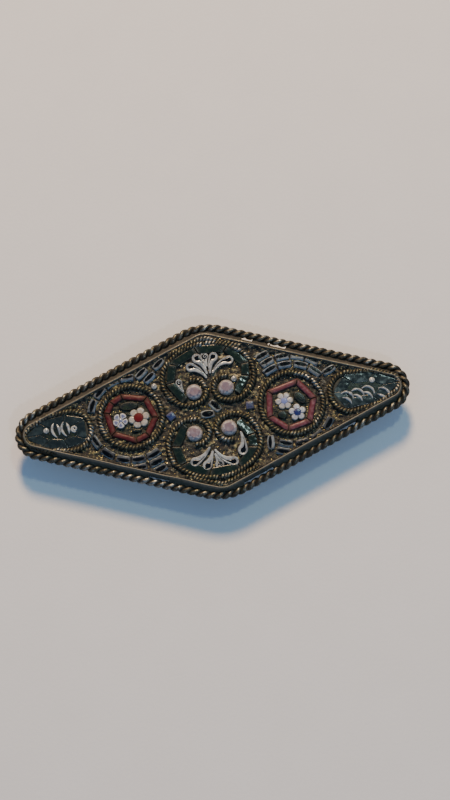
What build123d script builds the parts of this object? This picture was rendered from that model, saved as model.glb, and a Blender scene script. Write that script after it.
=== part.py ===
from build123d import *
import math
import os

# A brooch shaped as a long rhombus, lying face up on its pin fitting.
# +X runs to the right-hand tip, +Y across the brooch, +Z out of its face, in millimetres.
# The origin is on the surface that the brooch rests on, under its middle.

# Rope border, measured over its outside
brooch_length = 60.2
brooch_width = 27.3
tip_radius = 3.9
apex_radius = 9.0
rope_width = 1.3
strand_radius = 0.41
strand_waist = 0.29
strand_pitch = 2.56
sections_per_turn = 6
rope_sink = 0.12

# Heights
pin_drop = 3.4
plate_thickness = 0.6
rim_rise = 1.15
bed_rise = 0.35
glass_rise = 0.95

# Rim wall inside the rope
rim_wall = 0.35
rim_tip_gap = 0.12
rim_apex_gap = 0.3
rim_tip_radius = 1.9
rim_apex_radius = 3.0
tray_drop = 0.15
solder_reach = 0.25
slit_width = 0.7

# Wires round the cells
wire_width = 0.8
wire_chamfer = 0.2
apex_wire_length = 11.0

# Big cells above and below the middle, each closed by two horns that curl round the pink stones
stone_spacing = 4.9
stone_height = 3.1
collar_radius = 1.9
horn_radius = 3.2
shoulder_radius = 4.2
collar_start = 105
collar_end = -60
horn_end = -110
shoulder_end = -230
crown_end = -270
lower_cell_shift = -0.45

# Round cells to the left and right
round_cell_radius = 4.72
left_round_x = -12.3
left_round_y = 0.55
right_round_x = 11.9
right_round_y = -0.7

# Pointed cells at the two tips, measured along the middle of their wires
end_cell_reach = 28.4
end_cell_height = 6.0
end_cell_tip = 1.5
end_cell_waist = 2.7
end_cell_waist_place = 0.8
left_cell_length = 9.9
right_cell_length = 10.6
left_cell_drop = 0.25
right_cell_drop = 0.05
right_cell_tilt = 4.0

# Stones and glass
stone_diameter = 2.4
stone_table = 1.3
stone_break = 2.06
stone_girdle = 0.25
stone_crown = 0.35
stone_facets = 8
stone_lift = 0.2
low_stone_shift_x = -0.35
low_stone_shift_y = -0.15
green_rod_width = 1.35
red_rod_width = 0.95
slab_width = 1.5
tessera_length = 2.15
tessera_width = 1.12
centre_tessera_length = 1.83
centre_tessera_width = 0.95
row_step = 1.26
bead_diameter = 0.9
chip_size = 1.2
curl_width = 0.26
curl_reach = 1.0
ring_radius = 0.42
ring_turn = 300

# Clearances, and the smallest area of a bed or of a piece of glass that is cut to fit
seat_gap = 0.04
glass_gap = 0.14
fitting_gap = 0.02
smallest_bed = 0.6
smallest_glass = 0.4

# Pin fitting
hinge_x = 17.0
catch_x = -17.0
foot_length = 6.0
foot_width = 4.4
foot_thickness = 0.5
foot_corner = 1.3
barrel_length = 5.0
barrel_radius = 1.2
barrel_neck = 1.7
stem_radius = 0.42
stem_overhang = 2.2
point_length = 5.0
point_radius = 0.1
hook_width = 2.0
hook_wall = 0.6
bearing_flat = 0.2

# Derived places
plate_bottom = pin_drop
plate_top = plate_bottom + plate_thickness
bed_top = plate_top + bed_rise
glass_bottom = bed_top + seat_gap
glass_height = glass_rise - bed_rise - seat_gap
rope_radius = rope_width / 2
rope_height = plate_bottom + rope_radius - rope_sink
stem_height = barrel_radius - bearing_flat

os.makedirs("parts", exist_ok=True)


def turned(x, y, angle):
    """A point turned about the origin by an angle in degrees."""
    a = math.radians(angle)
    return x * math.cos(a) - y * math.sin(a), x * math.sin(a) + y * math.cos(a)


def polar(radius, angle):
    """A point at a radius and an angle in degrees."""
    return turned(radius, 0, angle)


def save(part, name):
    """Labels a finished piece and writes it under its own name."""
    part.label = name
    export_step(part, f"parts/{name}.step")


def rhombus(half_length, half_width, at_tip, at_apex):
    """Rhombus with rounded corners: the outline drawn tight round four circles."""
    with BuildSketch() as outline:
        with Locations((half_length - at_tip, 0), (at_tip - half_length, 0)):
            Circle(at_tip)
        with Locations((0, half_width - at_apex), (0, at_apex - half_width)):
            Circle(at_apex)
        make_hull()
    return outline.sketch


def grown(outline, amount):
    """An outline moved outwards by an amount, or inwards if that is negative."""
    return offset(outline, amount, mode=Mode.PRIVATE)


def tight_round(circles):
    """Outline drawn tight round circles given as (x, y, radius)."""
    with BuildSketch() as outline:
        for x, y, radius in circles:
            with Locations((x, y)):
                Circle(radius)
        make_hull()
    return outline.sketch


rope_path = rhombus(
    brooch_length / 2 - rope_radius, brooch_width / 2 - rope_radius,
    tip_radius - rope_radius, apex_radius - rope_radius,
)
rim_outer = Pos(0, -tray_drop) * rhombus(
    brooch_length / 2 - rope_width - rim_tip_gap, brooch_width / 2 - rope_width - rim_apex_gap,
    rim_tip_radius, rim_apex_radius,
)
rim_inner = grown(rim_outer, -rim_wall)

# Round cells: middle x, middle y
round_cells = {
    "left": (left_round_x, left_round_y),
    "right": (right_round_x, right_round_y),
}

# Pointed cells: side, length, drop below the long axis, turn
end_cells = {
    "left": (-1, left_cell_length, left_cell_drop, 0.0),
    "right": (1, right_cell_length, right_cell_drop, right_cell_tilt),
}


# Twisted rope border
# The cross-section of two strands side by side turns about the path as it goes round.
def rope_section():
    """Outline of two touching strands, as eight points about the rope's own middle."""
    reach = rope_radius - strand_radius
    strand = [(reach + strand_radius * math.cos(a), strand_radius * math.sin(a))
              for a in (-math.pi / 3, 0, math.pi / 3)]
    half = strand + [(0, strand_waist)]
    return half + [(-x, -y) for x, y in half]


def rope():
    """Closed ring of sections joined by triangles."""
    path = rope_path.face().outer_wire()
    section = rope_section()
    turns = round(path.length / strand_pitch)
    count = turns * sections_per_turn
    rings = []
    for i in range(count):
        place = path @ (i / count)
        along = path % (i / count)
        inward = Vector(-along.Y, along.X, 0)
        angle = -360 * i / sections_per_turn
        ring = []
        for x, y in section:
            side, up = turned(x, y, angle)
            ring.append(place + inward * side + Vector(0, 0, rope_height + up))
        rings.append(ring)
    faces = []
    for here, there in zip(rings, rings[1:] + rings[:1]):
        for j in range(len(section)):
            k = (j + 1) % len(section)
            faces.append(Face(Wire.make_polygon([here[j], there[j], there[k]])))
            faces.append(Face(Wire.make_polygon([here[j], there[k], here[k]])))
    return Solid(Shell(faces))


# Wires of the big cells
def horn_centres():
    """Middles of the four arcs of a horn: collar, horn, shoulder and crown; and the crown's radius."""
    collar = (-stone_spacing / 2, stone_height)
    dx, dy = polar(horn_radius - collar_radius, collar_end)
    horn = (collar[0] - dx, collar[1] - dy)
    dx, dy = polar(shoulder_radius - horn_radius, horn_end)
    shoulder = (horn[0] - dx, horn[1] - dy)
    ux, uy = polar(1, shoulder_end)
    growth = shoulder[0] / ux
    crown = (0, shoulder[1] - growth * uy)
    return collar, horn, shoulder, crown, shoulder_radius + growth


cell_collar, cell_horn, cell_shoulder, cell_crown, crown_radius = horn_centres()
cell_half = shoulder_radius - cell_shoulder[0]


def horn_line():
    """Left horn of the upper cell, from its inner end out and up to the top of the cell."""
    stations = (collar_start, collar_end, horn_end, shoulder_end, crown_end)
    radii = (collar_radius, horn_radius, shoulder_radius, crown_radius)
    x, y = polar(collar_radius, collar_start)
    start = (cell_collar[0] + x, cell_collar[1] + y)
    heading = polar(1, collar_start - 90)
    with BuildLine() as line:
        arc = JernArc(start, heading, radii[0], stations[1] - stations[0])
        for radius, first, last in zip(radii[1:], stations[1:], stations[2:]):
            arc = JernArc(arc @ 1, arc % 1, radius, last - first)
    return line.line


def horn_wires(width):
    """The two horns of both big cells as ribbons of a width."""
    with BuildSketch() as pair:
        trace(horn_line(), width)
        mirror(about=Plane.YZ)
    with BuildSketch() as both:
        add(pair.sketch)
        with Locations((lower_cell_shift, 0)):
            add(mirror(pair.sketch, about=Plane.XZ, mode=Mode.PRIVATE))
    return both.sketch


def round_rings(inner, outer):
    """Rings about the round cells, between two radii; no inner radius makes them discs."""
    with BuildSketch() as rings:
        with Locations(*round_cells.values()):
            Circle(outer)
            if inner:
                Circle(inner, mode=Mode.SUBTRACT)
    return rings.sketch


def end_cell(name, grow):
    """Outline of a pointed cell along the middle of its wire, larger by a margin all round."""
    side, length, drop, tilt = end_cells[name]
    half = end_cell_height / 2
    pivot = end_cell_reach - length / 2
    rows = []
    for from_middle, radius in (
        (length / 2 - end_cell_tip, end_cell_tip),
        (end_cell_waist_place, end_cell_waist),
        (half - length / 2, half),
    ):
        dx, dy = turned(from_middle, 0, tilt)
        rows.append((side * (pivot + dx), dy - drop, radius + grow))
    return tight_round(rows)


def end_outlines(grow):
    """Both pointed cells, larger by a margin."""
    with BuildSketch() as both:
        for name in end_cells:
            add(end_cell(name, grow))
    return both.sketch


def apex_wires(width):
    """Short wires inside the rim at the two blunt corners."""
    middle = grown(rim_inner, -wire_width / 2)
    with BuildSketch() as wires:
        add(grown(middle, width / 2))
        add(grown(middle, -width / 2), mode=Mode.SUBTRACT)
        Rectangle(apex_wire_length, brooch_width, mode=Mode.INTERSECT)
    return wires.sketch


def wire_plan(grow):
    """All cell wires seen from above, wider by a margin on each side."""
    half = wire_width / 2 + grow
    with BuildSketch() as plan:
        add(horn_wires(2 * half))
        add(round_rings(round_cell_radius - half, round_cell_radius + half))
        add(end_outlines(half))
        add(end_outlines(-half), mode=Mode.SUBTRACT)
        add(apex_wires(2 * half))
        add(grown(rim_outer, -rim_wall / 2), mode=Mode.INTERSECT)
    return plan.sketch


# Slits between rope and rim: start and end along half the brooch, and the side of the long axis
slit_rows = (
    (0.18, 0.26, 1), (0.32, 0.41, 1),
    (0.61, 0.71, -1), (0.10, 0.25, -1), (-0.36, -0.26, -1),
)


def slits():
    """Gaps along the rim where the rope stands off the plate."""
    half = brooch_length / 2
    with BuildSketch() as spans:
        for start, end, up in slit_rows:
            with Locations(((start + end) / 2 * half, up * brooch_width / 4)):
                Rectangle((end - start) * half, brooch_width / 2)
    with BuildSketch() as plan:
        add(grown(rim_outer, slit_width))
        add(rim_outer, mode=Mode.SUBTRACT)
        add(spans.sketch, mode=Mode.INTERSECT)
    return plan.sketch


def setting():
    """Plate, rim wall, cell wires, and the rope border soldered to the edge of the plate."""
    with BuildPart() as tray:
        with BuildSketch(Plane.XY.offset(plate_bottom)):
            add(grown(rope_path, solder_reach - rope_radius))
            add(slits(), mode=Mode.SUBTRACT)
        extrude(amount=plate_thickness)
        with BuildSketch(Plane.XY.offset(plate_top)):
            add(rim_outer)
            add(rim_inner, mode=Mode.SUBTRACT)
        extrude(amount=rim_rise)
        with BuildSketch(Plane.XY.offset(plate_top)):
            add(wire_plan(0))
        extrude(amount=rim_rise - wire_chamfer)
        with BuildSketch(Plane.XY.offset(plate_top + rim_rise - wire_chamfer)):
            add(wire_plan(-wire_chamfer))
        extrude(amount=wire_chamfer)
    return tray.part + rope()


# Cement beds and the free room above them
def free_field(gap):
    """Plan of the tray between its wires, outside the round and the pointed cells."""
    with BuildSketch() as room:
        add(grown(rim_inner, -gap))
        add(wire_plan(gap), mode=Mode.SUBTRACT)
        add(round_rings(0, round_cell_radius), mode=Mode.SUBTRACT)
        add(end_outlines(0), mode=Mode.SUBTRACT)
    return room.sketch


def free_cells(gap):
    """Plan of the insides of the round and the pointed cells."""
    inset = wire_width / 2 + gap
    with BuildSketch() as room:
        add(round_rings(0, round_cell_radius - inset))
        add(end_outlines(-inset))
    return room.sketch


def large_faces(plan, least):
    """The faces of a plan that are larger than the least area."""
    return [face for face in plan.faces() if face.area > least]


def raised(faces, bottom, height):
    """Faces raised into solids, as one part."""
    with BuildPart() as pieces:
        for face in faces:
            with BuildSketch(Plane.XY.offset(bottom)):
                add(face)
            extrude(amount=height)
    return pieces.part


glass_room = free_field(seat_gap) + free_cells(seat_gap)


def glass(plan):
    """Glass on the bed: a plan cut to the free room and raised, without its crumbs."""
    with BuildSketch() as cut:
        add(plan)
        add(glass_room, mode=Mode.INTERSECT)
    return raised(large_faces(cut.sketch, smallest_glass), glass_bottom, glass_height)


# Glass rods laid end to end along a polygon
def rods(corners, width, closed):
    """Plan of straight rods between corners, with mitred ends a little apart."""
    middle = sum((Vector(*corner) for corner in corners), Vector()) * (1 / len(corners))
    ends = list(zip(corners, corners[1:] + corners[:1]))
    with BuildSketch() as plan:
        for first, last in ends if closed else ends[:-1]:
            a, b = Vector(*first), Vector(*last)
            along = (b - a).normalized()
            out = Vector(along.Y, -along.X)
            if out.dot(a - middle) < 0:
                out = -out
            quad = []
            for point, step, side in ((a, 1, -1), (a, 1, 1), (b, -1, 1), (b, -1, -1)):
                ray = (point - middle).normalized()
                shift = ray * (side * width / 2 / out.dot(ray))
                quad.append(point + shift + along * (step * glass_gap / 2 / out.dot(ray)))
            with BuildLine():
                Polyline(*[(p.X, p.Y) for p in quad], close=True)
            make_face()
    return plan.sketch


# Corners of the green rods along their middles, as shares of half a big cell's width;
# the lower cell is the upper one turned over
green_corners = (
    (-0.57, 0.27), (-0.84, 0.70), (-0.74, 1.11), (-0.19, 1.365),
    (0.47, 1.335), (0.825, 0.93), (0.805, 0.66), (0.555, 0.31),
)

# Leaves of the palmettes, as shares of half a big cell's width:
# root x, root y, head x, head y, head radius, eye start, eye end, eye radius;
# an eye's start and end are shares of the way from root to head
upper_leaves = (
    (-0.105, 0.765, -0.380, 0.975, 0.092, 0.62, 1.05, 0.026),
    (-0.045, 0.830, -0.200, 1.105, 0.088, 0.62, 1.02, 0.026),
    (0.012, 1.010, -0.010, 1.165, 0.062, 0.70, 1.00, 0.018),
    (0.072, 0.830, 0.195, 1.100, 0.088, 0.62, 1.02, 0.026),
    (0.145, 0.775, 0.475, 0.965, 0.088, 0.40, 1.02, 0.026),
    (-0.620, 0.620, -0.640, 0.715, 0.055, 0.10, 1.00, 0.018),
)
lower_leaves = (
    (-0.165, 0.810, -0.440, 1.000, 0.080, 0.60, 1.02, 0.028),
    (-0.105, 0.860, -0.235, 1.090, 0.078, 0.62, 1.02, 0.026),
    (-0.002, 1.020, 0.036, 1.140, 0.056, 0.70, 1.00, 0.018),
    (0.018, 0.840, 0.375, 1.070, 0.082, 0.50, 0.95, 0.028),
    (0.570, 0.600, 0.545, 0.900, 0.078, 0.30, 1.00, 0.028),
)
leaf_root = 0.028
eye_root = 0.8
eye_gap = 0.03


def drop(x1, y1, r1, x2, y2, r2):
    """Plan of a drop drawn tight round a small and a large circle."""
    return tight_round([(x1, y1, r1), (x2, y2, r2)])


def leaf_plans(rows, shift, up, part):
    """Plan of one palmette's leaves with holes for their eyes, or of the eyes alone."""
    with BuildSketch() as plan:
        for x1, y1, x2, y2, head, first, last, eye in rows:
            x1, y1, x2, y2 = (value * cell_half for value in (x1, y1, x2, y2))
            gap = eye_gap if part == "leaves" else 0
            row = []
            for share, radius in ((first, eye * eye_root), (last, eye)):
                x, y = x1 + (x2 - x1) * share, y1 + (y2 - y1) * share
                row += [shift + x, up * y, radius * cell_half + gap]
            if part == "leaves":
                add(drop(shift + x1, up * y1, leaf_root * cell_half,
                         shift + x2, up * y2, head * cell_half))
                add(drop(*row), mode=Mode.SUBTRACT)
            else:
                add(drop(*row))
    return plan.sketch


# Red rods: the cell, and for each corner between its rods an angle and a share of the cell's radius
red_corners = {
    "left": (
        (46, 0.745), (108, 0.75), (136, 0.785), (163, 0.795),
        (216, 0.78), (275, 0.775), (305, 0.765), (352, 0.77),
    ),
    "right": ((5, 0.715), (69, 0.73), (146, 0.80), (205, 0.84), (254, 0.84), (306, 0.80)),
}

# Flowers: cell, middle x and y, reach as shares of the cell's radius; petals; turn; eye as a share
petal_share = 0.42
flowers = {
    "white_flower_left": ("left", 0.235, -0.050, 0.330, 6, 10, 0.165),
    "blue_flower_left": ("left", -0.355, -0.060, 0.215, 5, 54, 0),
    "lavender_flower_right": ("right", -0.233, 0.106, 0.270, 6, 0, 0),
    "white_flower_right": ("right", 0.127, -0.318, 0.262, 5, 90, 0.11),
}

# Green glass behind the flowers: cell, x, y, length and width as shares of the cell's radius, turn
green_chip_rows = (
    ("left", -0.045, 0.380, 0.61, 0.28, 0),
    ("left", 0.106, -0.455, 0.34, 0.11, 0),
    ("right", 0.275, 0.148, 0.49, 0.29, -50),
    ("right", -0.355, -0.330, 0.33, 0.26, -30),
)


def flower_plan(cell, x, y, reach, petals, turn, eye):
    """Round petals about a middle, with a hole where an eye is set."""
    cx, cy = round_cells[cell]
    petal = petal_share * reach * round_cell_radius
    ring = reach * round_cell_radius - petal
    with BuildSketch() as plan:
        with Locations((cx + x * round_cell_radius, cy + y * round_cell_radius)):
            Circle(ring)
            with PolarLocations(ring, petals, start_angle=turn):
                Circle(petal)
            if eye:
                Circle(eye * round_cell_radius + eye_gap, mode=Mode.SUBTRACT)
    return plan.sketch


def flower_eye(name, sides):
    """Eye of a flower: round, or a polygon of a number of sides."""
    cell, x, y, reach, petals, turn, eye = flowers[name]
    cx, cy = round_cells[cell]
    with BuildSketch() as plan:
        with Locations((cx + x * round_cell_radius, cy + y * round_cell_radius)):
            if sides:
                RegularPolygon(eye * round_cell_radius, sides, rotation=turn)
            else:
                Circle(eye * round_cell_radius)
    return plan.sketch


# Tesserae of the field, in rows bent round the round cells: cell, gap from its wire to the middle of the
# first row, then the angles of each row
field_rows = {
    "field_upper_right": ("right", 1.0, (114, 92, 69, 47), (112, 93, 75, 57), (113,)),
    "field_lower_right": ("right", 1.15, (-107, -84, -61, -38), (-108.5, -89)),
    "field_lower_left": ("left", 1.4, (207, 230, 252, 272, 293), (272, 291), (291,)),
    "field_upper_left": ("left", 1.05, (155.5, 133.5, 111.5, 89.5)),
}

# Tesserae that lie across the rows: node, x and y as shares of half the brooch, turn
stray_rows = (
    ("field_upper_left", -0.331, 0.517, 38),
    ("field_upper_left", -0.292, 0.455, 38),
    ("field_upper_left", -0.239, 0.597, 38),
    ("field_upper_right", 0.605, 0.262, 25),
    ("field_lower_right", 0.262, -0.455, 84),
)


def bent_tessera(cell, radius, angle):
    """Plan of one tessera that follows a circle about a round cell."""
    middle = round_cells[cell]
    half = math.degrees(tessera_length / 2 / radius)
    with BuildSketch() as plan:
        with BuildLine():
            outer = CenterArc(middle, radius + tessera_width / 2, angle - half, 2 * half)
            inner = CenterArc(middle, radius - tessera_width / 2, angle - half, 2 * half)
            Line(outer @ 0, inner @ 0)
            Line(outer @ 1, inner @ 1)
        make_face()
    return plan.sketch


def field_plan(name):
    """Rows of bent tesserae and the strays of one field."""
    cell, first_row, *rows = field_rows[name]
    wire_edge = round_cell_radius + wire_width / 2
    with BuildSketch() as plan:
        for number, angles in enumerate(rows):
            for angle in angles:
                add(bent_tessera(cell, wire_edge + first_row + number * row_step, angle))
        for node, x, y, turn in stray_rows:
            if node == name:
                with Locations(Location((x * brooch_length / 2, y * brooch_width / 2, 0), (0, 0, turn))):
                    Rectangle(tessera_length, tessera_width)
    return plan.sketch


# Pointed cells: dark slabs round a middle that holds white curls
# Corners of the slabs along their middles: share of the cell's length from its middle, of half its height
slab_corners = {
    "left": (
        (0.40, 0.0), (0.20, 0.46), (-0.10, 0.62), (-0.34, 0.40),
        (-0.34, -0.40), (-0.10, -0.62), (0.20, -0.46),
    ),
    "right": (
        (0.41, 0.0), (0.14, 0.56), (-0.22, 0.66),
        (-0.37, 0.10), (-0.28, -0.56), (0.12, -0.58),
    ),
}

# Curls: share of the cell's length from its middle, share of half its height, form
curl_rows = {
    "left": ((0.035, 0.117, "lens"), (-0.111, 0.117, "lens"), (-0.247, 0.083, "ring")),
    "right": (
        (-0.277, -0.270, "pair"), (-0.120, -0.240, "pair"),
        (0.032, -0.210, "pair"), (0.249, -0.430, "wing"),
    ),
}

# Arcs of each form as shares of a curl's reach: start, a point on the way, end
curl_forms = {
    "pair": (((-0.85, 0.65), (0.10, 0.85), (0.90, -0.40)), ((-0.70, 0.05), (0.00, -0.15), (0.55, -1.05))),
    "lens": (((-0.15, 1.20), (-0.52, 0.30), (0.12, -1.05)), ((0.25, 1.00), (0.52, 0.10), (0.50, -0.75))),
    "wing": (((-0.70, 0.85), (0.40, 0.55), (0.80, -0.75)), ((-1.00, 0.00), (-0.20, -0.45), (0.45, -0.95))),
}
dot_rows = {"left": (0.177, 0.18), "right": (0.13, 0.36)}


def in_end_cell(name, along, across):
    """Place in a pointed cell: share of its length towards its tip, share of half its height."""
    side, length, drop_down, tilt = end_cells[name]
    dx, dy = turned(along * length, across * end_cell_height / 2, tilt)
    return side * (end_cell_reach - length / 2 + dx), dy - drop_down


def curl_lines(form):
    """Lines of one white curl: two arcs, or an open ring."""
    lines = []
    for points in curl_forms.get(form, ()):
        with BuildLine() as line:
            ThreePointArc(*[(x * curl_reach, y * curl_reach) for x, y in points])
        lines.append(line.line)
    if form == "ring":
        with BuildLine() as line:
            CenterArc((0, 0), ring_radius, 0, ring_turn)
        lines.append(line.line)
    return lines


def curl_plan(name, spare=0):
    """Plan of all the curls of one pointed cell, with some room to spare round them."""
    width = curl_width + 2 * spare
    with BuildSketch() as plan:
        for along, across, form in curl_rows[name]:
            x, y = in_end_cell(name, along, across)
            with BuildSketch(mode=Mode.PRIVATE) as strokes:
                for line in curl_lines(form):
                    trace(line, width)
                    if spare:
                        with Locations(line @ 0, line @ 1):
                            Circle(width / 2)
            add(Pos(x, y) * strokes.sketch)
    return plan.sketch


def curl_room(name):
    """Plan of the places that curls and dots need."""
    with BuildSketch() as plan:
        add(curl_plan(name, glass_gap))
        with Locations(in_end_cell(name, *dot_rows[name])):
            Circle(bead_diameter / 2 + glass_gap)
    return plan.sketch


# Odd pieces between the cells: x, y as shares of half the brooch, turn
centre_rows = ((0.010, 0.038, -50), (-0.030, -0.041, 0))
blue_rows = ((-0.212, -0.010, 30), (0.185, -0.008, 0))
bead_rows = ((-0.276, 0.352), (0.1265, 0.313))


def boxes(rows, length, width):
    """Plan of rectangles placed by shares of half the brooch."""
    with BuildSketch() as plan:
        for x, y, turn in rows:
            with Locations(Location((x * brooch_length / 2, y * brooch_width / 2, 0), (0, 0, turn))):
                Rectangle(length, width)
    return plan.sketch


def dots(places):
    """Plan of round beads."""
    with BuildSketch() as plan:
        with Locations(*places):
            Circle(bead_diameter / 2)
    return plan.sketch


def pink_stone(x, y):
    """Cut stone: prism to the girdle, two rows of eight facets, and a table."""
    girdle = glass_bottom + glass_height + stone_lift - stone_girdle
    levels = (
        (girdle, stone_diameter / 2),
        (girdle + stone_crown / 2, stone_break / 2),
        (girdle + stone_crown, stone_table / 2),
    )
    with BuildPart() as stone:
        with BuildSketch(Plane.XY.offset(glass_bottom)):
            with Locations((x, y)):
                RegularPolygon(stone_diameter / 2, stone_facets)
        extrude(amount=girdle - glass_bottom)
        for height, radius in levels:
            with BuildSketch(Plane.XY.offset(height)):
                with Locations((x, y)):
                    RegularPolygon(radius, stone_facets)
        loft(ruled=True)
    return stone.part


# Plain pin fitting on the back: hinge, pin stem and catch
def foot(x):
    """Soldered foot under the back plate."""
    with BuildPart() as plate:
        with BuildSketch(Plane.XY.offset(plate_bottom - fitting_gap - foot_thickness)):
            with Locations((x, 0)):
                RectangleRounded(foot_length, foot_width, foot_corner)
        extrude(amount=foot_thickness)
    return plate.part


def barrel():
    """Hinge barrel with its neck up to the foot, flattened below where it rests."""
    top = plate_bottom - fitting_gap - foot_thickness / 2
    with BuildPart() as piece:
        with BuildSketch(Plane.XZ):
            with Locations((hinge_x, stem_height)):
                Circle(barrel_radius)
            with Locations((hinge_x, (stem_height + top) / 2)):
                Rectangle(barrel_neck, top - stem_height)
        extrude(amount=barrel_length / 2, both=True)
        with BuildSketch(Plane.XY):
            with Locations((hinge_x, 0)):
                Rectangle(foot_length, barrel_length)
        extrude(amount=plate_bottom, mode=Mode.INTERSECT)
    return piece.part


def pin_fitting():
    """One plain piece, flattened below where it rests."""
    stem_end = catch_x - hook_width / 2 - stem_overhang
    with BuildPart() as stem:
        with BuildSketch(Plane.YZ.offset(stem_end + point_length)):
            with Locations((0, stem_height)):
                Circle(stem_radius)
        extrude(amount=hinge_x - stem_end - point_length)
        with BuildSketch(Plane.YZ.offset(stem_end + point_length)):
            with Locations((0, stem_height)):
                Circle(stem_radius)
        with BuildSketch(Plane.YZ.offset(stem_end)):
            with Locations((0, stem_height)):
                Circle(point_radius)
        loft()
    hook_radius = stem_radius + hook_wall
    top = plate_bottom - fitting_gap - foot_thickness / 2
    with BuildPart() as hook:
        with BuildSketch(Plane.YZ.offset(catch_x - hook_width / 2)):
            with Locations((0, stem_height)):
                Circle(hook_radius)
            with Locations((hook_radius - hook_wall / 2, (stem_height + top) / 2)):
                Rectangle(hook_wall, top - stem_height)
            with Locations((-hook_radius, stem_height + hook_radius)):
                Rectangle(hook_radius * 2, hook_radius * 2 - stem_radius, mode=Mode.SUBTRACT)
        extrude(amount=hook_width)
        with BuildSketch(Plane.XY):
            with Locations((catch_x, 0)):
                Rectangle(hook_width, foot_width)
        extrude(amount=plate_bottom, mode=Mode.INTERSECT)
    return barrel() + foot(hinge_x) + foot(catch_x) + hook.part + stem.part


save(setting(), "setting")
save(pin_fitting(), "pin_fitting")
for room, name in ((free_field(seat_gap), "field_bed"), (free_cells(seat_gap), "cell_beds")):
    save(raised(large_faces(room, smallest_bed), plate_top + seat_gap, bed_rise - seat_gap), name)

for level, up, shift in (("upper", 1, 0), ("lower", -1, lower_cell_shift)):
    stones = {
        "left": (shift - stone_spacing / 2, up * stone_height),
        "right": (shift + stone_spacing / 2, up * stone_height),
    }
    if level == "lower":
        x, y = stones["left"]
        stones["left"] = (x + low_stone_shift_x, y + low_stone_shift_y)
    for side, place in stones.items():
        save(pink_stone(*place), f"pink_stone_{level}_{side}")
    corners = [(shift + x * cell_half, up * y * cell_half) for x, y in green_corners]
    with BuildSketch() as rod_plan:
        add(rods(corners, green_rod_width, False))
        with Locations(*stones.values()):
            Circle(stone_diameter / 2 + glass_gap, mode=Mode.SUBTRACT)
    save(glass(rod_plan.sketch), f"green_rods_{level}")

save(glass(leaf_plans(upper_leaves, 0, 1, "leaves")), "palmette_upper")
save(glass(leaf_plans(lower_leaves, lower_cell_shift, -1, "leaves")), "palmette_lower")
with BuildSketch() as eyes:
    add(leaf_plans(upper_leaves, 0, 1, "eyes"))
    add(leaf_plans(lower_leaves, lower_cell_shift, -1, "eyes"))
save(raised(eyes.faces(), glass_bottom, glass_height), "leaf_eyes")

for name, rows in red_corners.items():
    cx, cy = round_cells[name]
    corners = []
    for angle, share in rows:
        dx, dy = polar(share * round_cell_radius, angle)
        corners.append((cx + dx, cy + dy))
    save(glass(rods(corners, red_rod_width, True)), f"red_rods_{name}")

for name, row in flowers.items():
    save(glass(flower_plan(*row)), name)
save(glass(flower_eye("white_flower_left", 0)), "red_flower_disc")
save(glass(flower_eye("white_flower_right", 5)), "blue_flower_core")

with BuildSketch() as chips:
    for cell, x, y, length, width, turn in green_chip_rows:
        cx, cy = round_cells[cell]
        place = (cx + x * round_cell_radius, cy + y * round_cell_radius, 0)
        with Locations(Location(place, (0, 0, turn))):
            Ellipse(length * round_cell_radius / 2, width * round_cell_radius / 2)
save(glass(chips.sketch), "green_chips")

for name in field_rows:
    save(glass(field_plan(name)), name)

for name in end_cells:
    corners = [in_end_cell(name, along, across) for along, across in slab_corners[name]]
    with BuildSketch() as slabs:
        add(rods(corners, slab_width, True))
        add(curl_room(name), mode=Mode.SUBTRACT)
    save(glass(slabs.sketch), f"end_slabs_{name}")
    save(glass(curl_plan(name)), f"end_curls_{name}")
save(glass(dots([in_end_cell(name, *row) for name, row in dot_rows.items()])), "end_dots")

save(glass(boxes(centre_rows, centre_tessera_length, centre_tessera_width)), "centre_tesserae")
save(glass(boxes(blue_rows, chip_size, chip_size)), "blue_chips")
save(glass(dots([(x * brooch_length / 2, y * brooch_width / 2) for x, y in bead_rows])), "white_beads")
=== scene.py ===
import math

import bpy
import numpy as np
from mathutils import Matrix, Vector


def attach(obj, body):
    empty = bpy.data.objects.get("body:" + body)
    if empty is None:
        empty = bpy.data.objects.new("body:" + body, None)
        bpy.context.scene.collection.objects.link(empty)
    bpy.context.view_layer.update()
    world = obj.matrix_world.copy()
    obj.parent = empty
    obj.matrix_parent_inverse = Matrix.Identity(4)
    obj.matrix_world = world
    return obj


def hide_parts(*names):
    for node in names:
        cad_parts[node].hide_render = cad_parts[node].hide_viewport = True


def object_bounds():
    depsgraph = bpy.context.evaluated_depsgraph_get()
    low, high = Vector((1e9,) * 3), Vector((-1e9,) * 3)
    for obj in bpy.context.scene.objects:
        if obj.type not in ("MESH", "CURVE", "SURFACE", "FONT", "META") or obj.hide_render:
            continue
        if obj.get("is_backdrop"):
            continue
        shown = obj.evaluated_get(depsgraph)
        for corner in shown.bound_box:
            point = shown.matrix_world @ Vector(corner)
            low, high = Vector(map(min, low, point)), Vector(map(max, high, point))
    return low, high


# A micromosaic brooch: a brass tray with a twisted rope border, twisted wires round its cells,
# and glass pressed into cement. Lengths are in millimetres until a piece is built.
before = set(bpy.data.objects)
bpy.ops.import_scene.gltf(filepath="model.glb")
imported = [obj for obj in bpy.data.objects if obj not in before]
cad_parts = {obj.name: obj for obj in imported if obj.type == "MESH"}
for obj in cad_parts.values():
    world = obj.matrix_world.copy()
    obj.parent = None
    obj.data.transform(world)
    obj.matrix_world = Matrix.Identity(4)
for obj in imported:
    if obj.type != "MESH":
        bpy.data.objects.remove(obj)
cad_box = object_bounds()
MM = 0.001
# Signs of y and of x for the halves of the brooch
LEVELS = {"upper": 1, "lower": -1}
SIDES = {"left": -1, "right": 1}

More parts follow.
